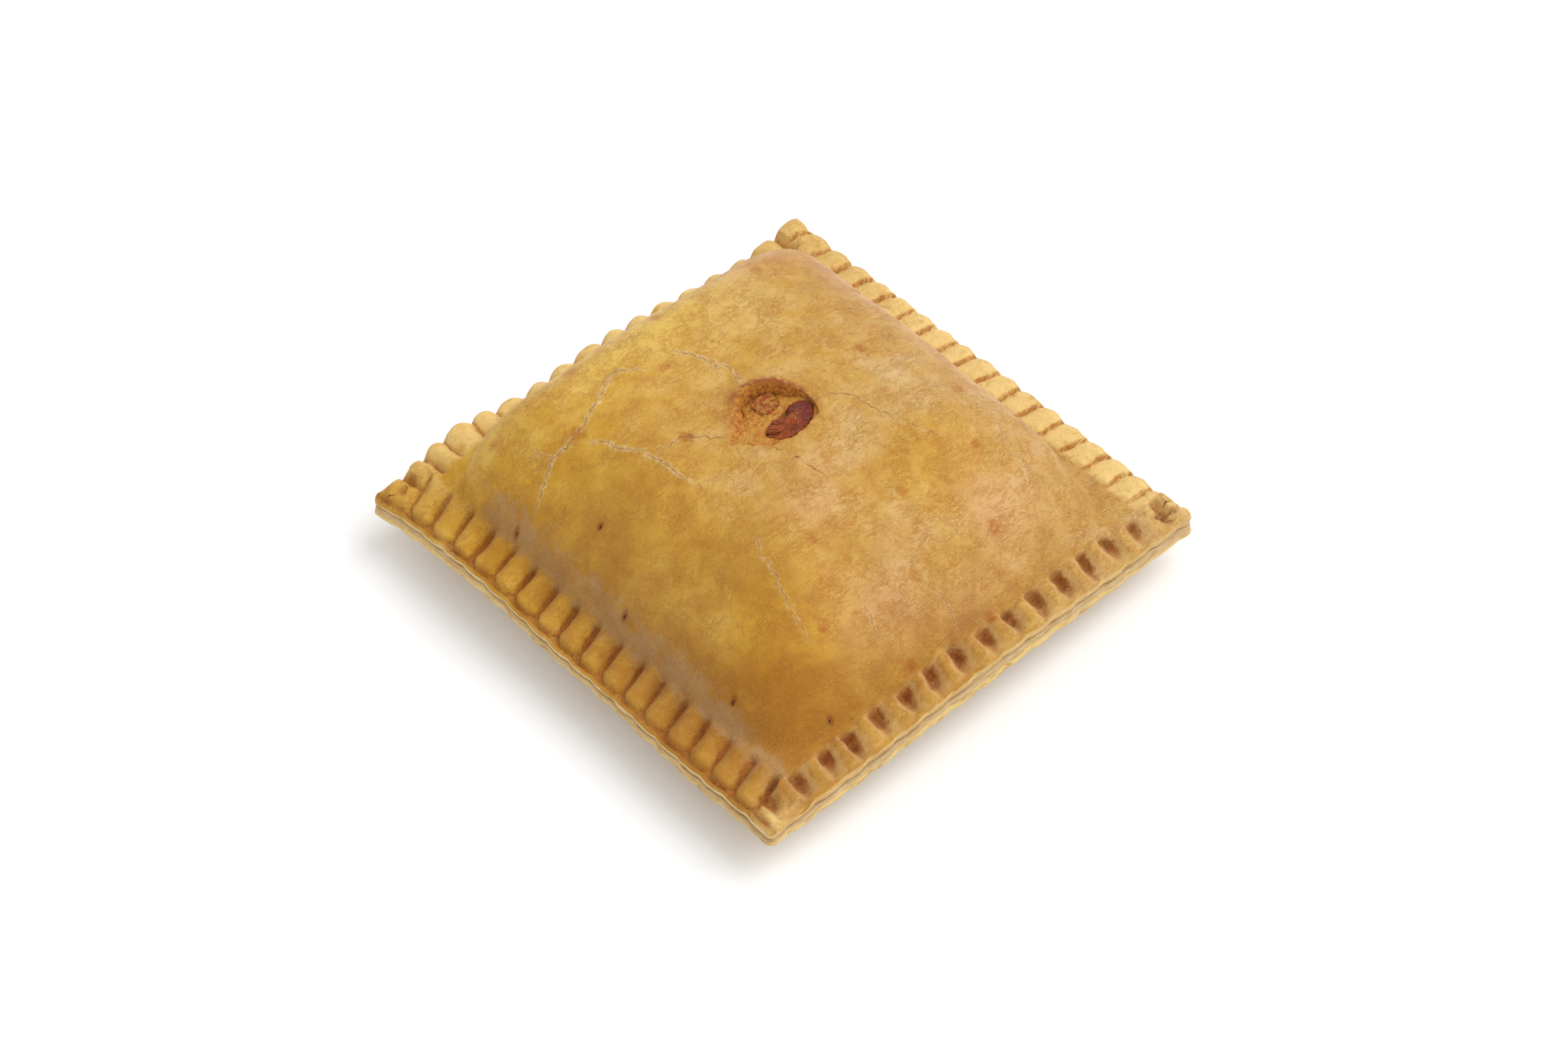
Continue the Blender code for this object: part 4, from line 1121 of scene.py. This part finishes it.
def fillingBed():
    # A closed body: rings from the vent's middle out over its floor, on below the top sheet, down
    # to the lower sheet's dish and back to the middle underneath.
    skin = Pieces()
    count, (oilyU, oilyV, oily) = bed["around"], bed["oily"]
    k = np.arange(count) / count
    square = ringPoints(k, half - bed["inset"], bed["corner"])
    bearing = fromVent(*square)[1]
    radius = ventRadius(bearing)

    def floorRing(scale):
        u, v = ventPlace(bearing, radius * scale)
        point = ventFloor(u, v)
        grit = sum(high * grain(u, v, size, seed) for high, size, seed in bed["grit"])
        point[:, 2] += grit * (1 - smooth(np.full(count, scale), 0.9, 1.05))
        away = np.hypot(u - vent["centre"][0] - oilyU, v - vent["centre"][1] - oilyV)
        # under is painted shade where the floor dives below the torn wall, darkest in the gap at
        # the back left
        foot = radius * scale - (radius - bearingBlend(bearing, vent["walls"]))
        return pocket(point), dict(oily=bell(away, oily),
                                   under=smooth(foot + darkGap(bearing), 0.5, 1.1))

    scales = np.concatenate([np.linspace(0.03, 1.0, 42), [1.06]])
    rings = [skin.add(*floorRing(scale)) for scale in scales]
    edgeU, edgeV = ventPlace(bearing, radius * 1.15)
    under = pastry["sheet"] + bed["gap"]
    for blend in (1.0, 0.86, 0.65, 0.45, 0.29, 0.18, 0.10, 0.04):
        a = square[0] + (edgeU - square[0]) * blend
        b = square[1] + (edgeV - square[1]) * blend
        rings.append(skin.add(beneath(a, b, np.full(count, under))))
    seam = seamLevel(*square) + 0.6
    rings.append(skin.add(np.column_stack([*square, seam])))
    for depth in (18.5, 22.0, 27.0):
        a, b = ringPoints(k, half - depth - bed["gap"], baseCurve(depth))
        z = dishHeight(a, b, depth) + bed["gap"]
        rings.append(skin.add(np.column_stack([a, b, z])))
    skin.quads.append(bands(rings[::-1]))
    middle = ventFloor(np.array([vent["centre"][0]]), np.array([vent["centre"][1]]))
    skin.triangles.append(fan(rings[0], skin.add(middle, dict(under=0.0))[0]))
    low = np.array([[0.0, 0.0, pastry["floorSheet"] + bed["gap"]]])
    skin.triangles.append(fan(rings[-1], skin.add(low)[0])[:, ::-1])
    piece = skin.build("filling", dict(oily=0.0, under=1.0), paintFilling())
    settle(piece, "filling")


lumpLook = dict(
    purple=(0.23, 0.032, 0.028), brown=(0.33, 0.055, 0.024), red=(0.52, 0.105, 0.022),
    pale=(0.68, 0.32, 0.13), orange=(0.70, 0.32, 0.065), dark=(0.05, 0.010, 0.006),
    roughness=0.42, specular=0.3,
    fleckWidth=0.36, fleckLength=1.6, fleckAngle=50,
)


def paintLump():
    look = lumpLook
    p = Paint("stewedPiece", look)
    p.colour = p.mix(p.ease(p.noise(2.6, 3), 0.4, 0.6), "purple", "brown")
    lit = p.noise(4.0, 2, place=p.vector("ADD", p.place, (7.0, 3.0, 1.0)))
    p.lay("red", p.ease(p.timesPlus(p.mark("lit"), 0.55, lit), 0.72, 0.98))
    p.lay(p.mix(p.ease(p.noise(1.1, 3, 0.6), 0.42, 0.58), "red", "orange"), p.mark("ground"))
    place = p.drawn(look["fleckAngle"], look["fleckWidth"] / look["fleckLength"], 1)
    flecks = p.times(p.ease(p.noise(look["fleckWidth"], 3.0, 0.6, 0.4, place), 0.52, 0.64), 0.65)
    p.lay("pale", flecks)
    fine = p.noise(0.5, 3, 0.7)
    p.lay("dark", p.ease(fine, 0.60, 0.72), 0.25)
    return p.finish(p.plus(p.plus(fine, flecks), p.noise(1.0, 3, 0.6)), 0.8, 1.0)


def lumps():
    # Each is a ball's grid of latitude and longitude, stretched to its half sizes, drawn in at a
    # waist, bent towards its back, and wrinkled by noise.
    material = paintLump()
    for name, size in lumpShapes.items():
        rows, columns, seed = size["rows"], size["columns"], size["seed"]
        latitude = (np.arange(1, rows) / rows - 0.5) * math.pi
        longitude = np.arange(columns) / columns * 2 * math.pi
        lat, lon = np.meshgrid(latitude, longitude, indexing="ij")
        z = np.concatenate([np.sin(lat).ravel(), [-1.0, 1.0]])
        x = np.concatenate([(np.cos(lat) * np.cos(lon)).ravel(), [0, 0]])
        y = np.concatenate([(np.cos(lat) * np.sin(lon)).ravel(), [0, 0]])
        wrinkle = 0.05 * softNoise(x * 3 + 20, y * 3 + z * 2 + 20, seed)
        wrinkle = wrinkle + 0.035 * softNoise(x * 8 + 30, y * 6 + z * 5 + 30, seed + 1)
        wrinkle = wrinkle + 0.025 * softNoise(x * 17 + 40, y * 13 + z * 9 + 40, seed + 2)
        wrinkle = 1 + wrinkle * size["rough"]
        a, b, c = (side * wrinkle for side in size["half"])
        waist = 1 - size["waist"] * bell(x + 0.05, 0.3) * np.clip(y + 0.4, 0, 1)
        px, py, pz = x * a, y * b * waist + size["bend"] * x * x, z * c
        cos, sin = math.cos(math.radians(size["turn"])), math.sin(math.radians(size["turn"]))
        body = np.column_stack([cos * px - sin * py, sin * px + cos * py, pz]) + lumpMiddle(size)
        skin = Pieces()
        ids = skin.add(body, dict(ground=float(name == "fillingPieceSmall"), lit=0.5 - 0.5 * x))
        rings = ids[:-2].reshape(rows - 1, columns)
        skin.quads.append(bands(rings))
        skin.triangles.append(fan(rings[0], ids[-2])[:, ::-1])
        skin.triangles.append(fan(rings[-1], ids[-1]))
        piece = skin.build(name, dict(ground=0.0, lit=0.5), material)
        settle(piece, size["node"])


lowerLook = dict(
    cream=(0.66, 0.50, 0.29), grey=(0.58, 0.42, 0.20), yellow=(0.74, 0.52, 0.17),
    belly=(0.61, 0.43, 0.20), brown=(0.36, 0.16, 0.04), slab=(0.52, 0.33, 0.125),
    roughness=0.6, specular=0.3,
)


def paintLower():
    p = Paint("lowerDough", lowerLook)
    # the belly, toasted where it lies on the tray
    tone = p.timesPlus(p.noise(14, 4, 0.6), 0.7, p.times(p.noise(3, 4), 0.3))
    p.colour = p.mix(p.ease(tone, 0.4, 0.6), "belly", "cream")
    p.lay("brown", p.mark("toasted"), p.ease(tone, 0.35, 0.6))
    belly = p.colour

    # the cut edge, browned in places, browner still at the front left as painted shade, and flaky
    p.colour = p.mix(p.ease(p.layers(0.55, 3, 0.6, 0.3, 0.12), 0.4, 0.65), "cream", "grey")
    p.lay("yellow", p.mark("yellowLip"))
    p.lay("slab", p.mark("brownedAndShaded"))
    flaky = p.layers(0.8, 4, 0.7, 0.5, 0.2, 1.6)
    p.lay("brown", p.ease(flaky, 0.50, 0.62), 0.6)
    p.lay("cream", p.ease(flaky, 0.46, 0.34), 0.4)
    p.colour = p.mix(p.mark("cutEdge"), belly, p.colour)
    grain = p.noise(0.6, 3, 0.7)
    p.lay("brown", p.ease(grain, 0.58, 0.72), 0.3)
    return p.finish(p.plus(grain, p.times(p.noise(2.5, 3), 0.8)), 0.2, 0.7)


def dishHeight(u, v, depth):
    # the lower sheet's inside: the seam at the rim, then an S curve down to its floor
    seam = seamLevel(u, v) - pastry["seam"]
    fall = 1 - smooth(depth, pastry["dishStart"], pastry["dishEnd"])
    return pastry["floorSheet"] + (seam - pastry["floorSheet"]) * fall


def baseCurve(depth):
    # how round the lower sheet's outline is so far in from the edge, at most a whole circle
    radius = pastry["baseRadius"] * min(depth / pastry["baseStart"], 1.0)
    return max(min(radius, half - depth), 0.01)


def lowerCrust():
    # Closed rings of the lower sheet: from the dish's middle out along the seam, down the cut
    # edge, in under the rim, down the belly and over the flat base.
    skin = Pieces()
    count = 560
    k = np.arange(count) / count
    around = np.arange(count) * 0.93

    def ring(depth, z, out=0.0, marks=None):
        u, v = ringPoints(k, half - depth, baseCurve(depth))
        x, y = outline(u, v)
        step = np.roll(np.stack([x, y]), -2, axis=1) - np.roll(np.stack([x, y]), 2, axis=1)
        step = step / np.linalg.norm(step, axis=0)
        return skin.add(np.column_stack([x + step[1] * out, y - step[0] * out, z]), marks)

    square = ringPoints(k, half, 0.01)
    level = seamLevel(*square)
    gap = 0.22 + 0.5 * np.clip(softNoise(around / 5.0, 0, 71), 0, 1) ** 1.5
    # browner where the upper cut edge is creamier, most at the front left: browning and painted
    # shade
    brownedAndShaded = 0.3 + 0.6 * edgeCream(*square) + 0.25 * softNoise(around / 3.0, 0, 78)
    thin, flare = edgeHills(*square, "thins"), edgeHills(*square, "flares")
    rings = []
    for depth in (27.0, 22.0, 18.5, 15.5, 12.6):
        u, v = ringPoints(k, half - depth, baseCurve(depth))
        rings.append(ring(depth, dishHeight(u, v, depth)))
    for depth in (6.0, 2.0, 0.6):
        u, v = ringPoints(k, half - depth, 0.01)
        rings.append(ring(depth, seamLevel(u, v) - gap - 0.02))

    # cut edge: share 0 at the seam, 1 at the wavy lower lip, which flares out
    wavy = 0.34 * softNoise(around / 5.5, 0, 72) + 0.18 * softNoise(around / 2.1, 0, 73)
    high = level - gap
    low = level - pastry["seam"] - pastry["lowerEdge"] - 0.1 + wavy * 0.8 + thin
    for share in (0.0, 0.1, 0.25, 0.42, 0.58, 0.72, 0.84, 0.93, 1.0):
        flakes = 0.08 * softNoise(around / 2.6, share * 6, 74)
        out = -0.30 + 0.25 * math.sin(min(share, 0.9) / 0.9 * math.pi / 2) + flakes
        out = out + 0.22 * smooth(share, 0.55, 0.85) - 0.30 * smooth(share, 0.9, 1.0)
        out = np.minimum(out, 0.27) + flare * smooth(share, 0.5, 0.9)
        lip = smooth(share + wavy * 0.4, 0.4, 0.65)
        rings.append(ring(0.0, high + (low - high) * share, out,
                          dict(cutEdge=1.0, yellowLip=lip, brownedAndShaded=brownedAndShaded * (1 - lip * 0.8))))
    for depth in (0.6, 1.5, 3.0, 5.0, 7.0, 9.0, 10.5, 12, 13.5, 15, 16.5, 18, 19.5, 21, 22.5, 24,
                  27, 32, 38, 45, 53, 60, 63):
        u, v = ringPoints(k, half - depth, baseCurve(depth))
        under = seamLevel(u, v) - pastry["seam"] - pastry["lowerEdge"]
        under = under + edgeHills(u, v, "thins")
        fall = smooth(depth, pastry["bellyStart"], pastry["baseStart"])
        under = under * (1 - fall) + wavy * 0.5 * (1 - smooth(depth, 0.6, 4.0))
        puckers = 0.25 * grain(u, v, 3.5, 75) * (1 - fall) * smooth(depth, 1, 6)
        base = 0.10 * (1 + grain(u, v, 4, 76)) * fall
        toasted = smooth(depth, 16, 25)
        rings.append(ring(depth, under + puckers + base * (1 - fall * 0.4), 0.0,
                          dict(toasted=toasted, cutEdge=1 - smooth(depth, 0.3, 1.8),
                               yellowLip=1 - 0.4 * smooth(depth, 1, 8))))
    skin.quads.append(bands(rings[::-1]))
    skin.triangles.append(fan(rings[0], skin.add(np.array([[0, 0, pastry["floorSheet"]]]))[0]))
    skin.triangles.append(fan(rings[-1], skin.add(np.array([[0.0, 0.0, 0.0]]),
                                                  dict(toasted=1.0))[0])[:, ::-1])
    defaults = dict(cutEdge=0.0, yellowLip=0.0, toasted=0.0, brownedAndShaded=0.0)
    piece = skin.build("lowerCrust", defaults, paintLower())
    settle(piece, "lower_crust")


studio = dict(
    azimuth=-43.21, elevation=48.45, distance=802.5,     # camera, fitted to the photo's four tips
    lens=81.79, shift=(-1.2 / 2053, -25 / 2053),
    sun=(0.80, -0.40, 1.1), sunStrength=1.62, sunAngle=52.0,   # towards the light, W/m2, degrees
    world=0.84, floor=0.95, floorReach=3.0,
)


def aim(thing, back):
    # stand so that local Z points along back
    thing.rotation_mode = "QUATERNION"
    thing.rotation_quaternion = back.to_track_quat("Z", "Y")


def camera():
    # seen from the azimuth and elevation, at that distance from the middle of the rim's plane
    azimuth, elevation = math.radians(studio["azimuth"]), math.radians(studio["elevation"])
    back = Vector((math.sin(azimuth) * math.cos(elevation),
                   -math.cos(azimuth) * math.cos(elevation), math.sin(elevation)))
    eye = bpy.data.cameras.new("photoCamera")
    seat = show("photoCamera", eye)
    seat.location = (Vector((*planShift, pastry["rimTop"])) + back * studio["distance"]) * mm
    aim(seat, back)
    eye.sensor_width, eye.lens = 36.0, studio["lens"]
    eye.shift_x, eye.shift_y = studio["shift"]
    eye.clip_start = 0.01
    bpy.context.scene.camera = seat


def light():
    scene = bpy.context.scene
    lamp = bpy.data.lights.new("softbox", "SUN")
    lamp.energy, lamp.angle = studio["sunStrength"], math.radians(studio["sunAngle"])
    stand = show("softbox", lamp)
    stand.location = studio["sun"]
    aim(stand, Vector(studio["sun"]))
    scene.world = bpy.data.worlds.new("studio")
    scene.world.use_nodes = True
    sky = scene.world.node_tree.nodes["Background"]
    sky.inputs["Color"].default_value = (1, 1, 1, 1)
    sky.inputs["Strength"].default_value = studio["world"]
    scene.view_settings.view_transform = "Standard"


def table():
    reach = studio["floorReach"]
    sheet = bpy.data.meshes.new("floor")
    sheet.from_pydata([(-reach, -reach, 0), (reach, -reach, 0), (reach, reach, 0),
                       (-reach, reach, 0)], [], [(0, 1, 2, 3)])
    paint = bpy.data.materials.new("floor")
    paint.use_nodes = True
    shade = paint.node_tree.nodes["Principled BSDF"]
    shade.inputs["Base Color"].default_value = (studio["floor"],) * 3 + (1,)
    shade.inputs["Roughness"].default_value = 0.9
    shade.inputs["Specular IOR Level"].default_value = 0.0
    sheet.materials.append(paint)
    show("floor", sheet)
    print("camera, light and table are set")


upperCrust()
lowerCrust()
fillingBed()
lumps()
camera()
light()
table()
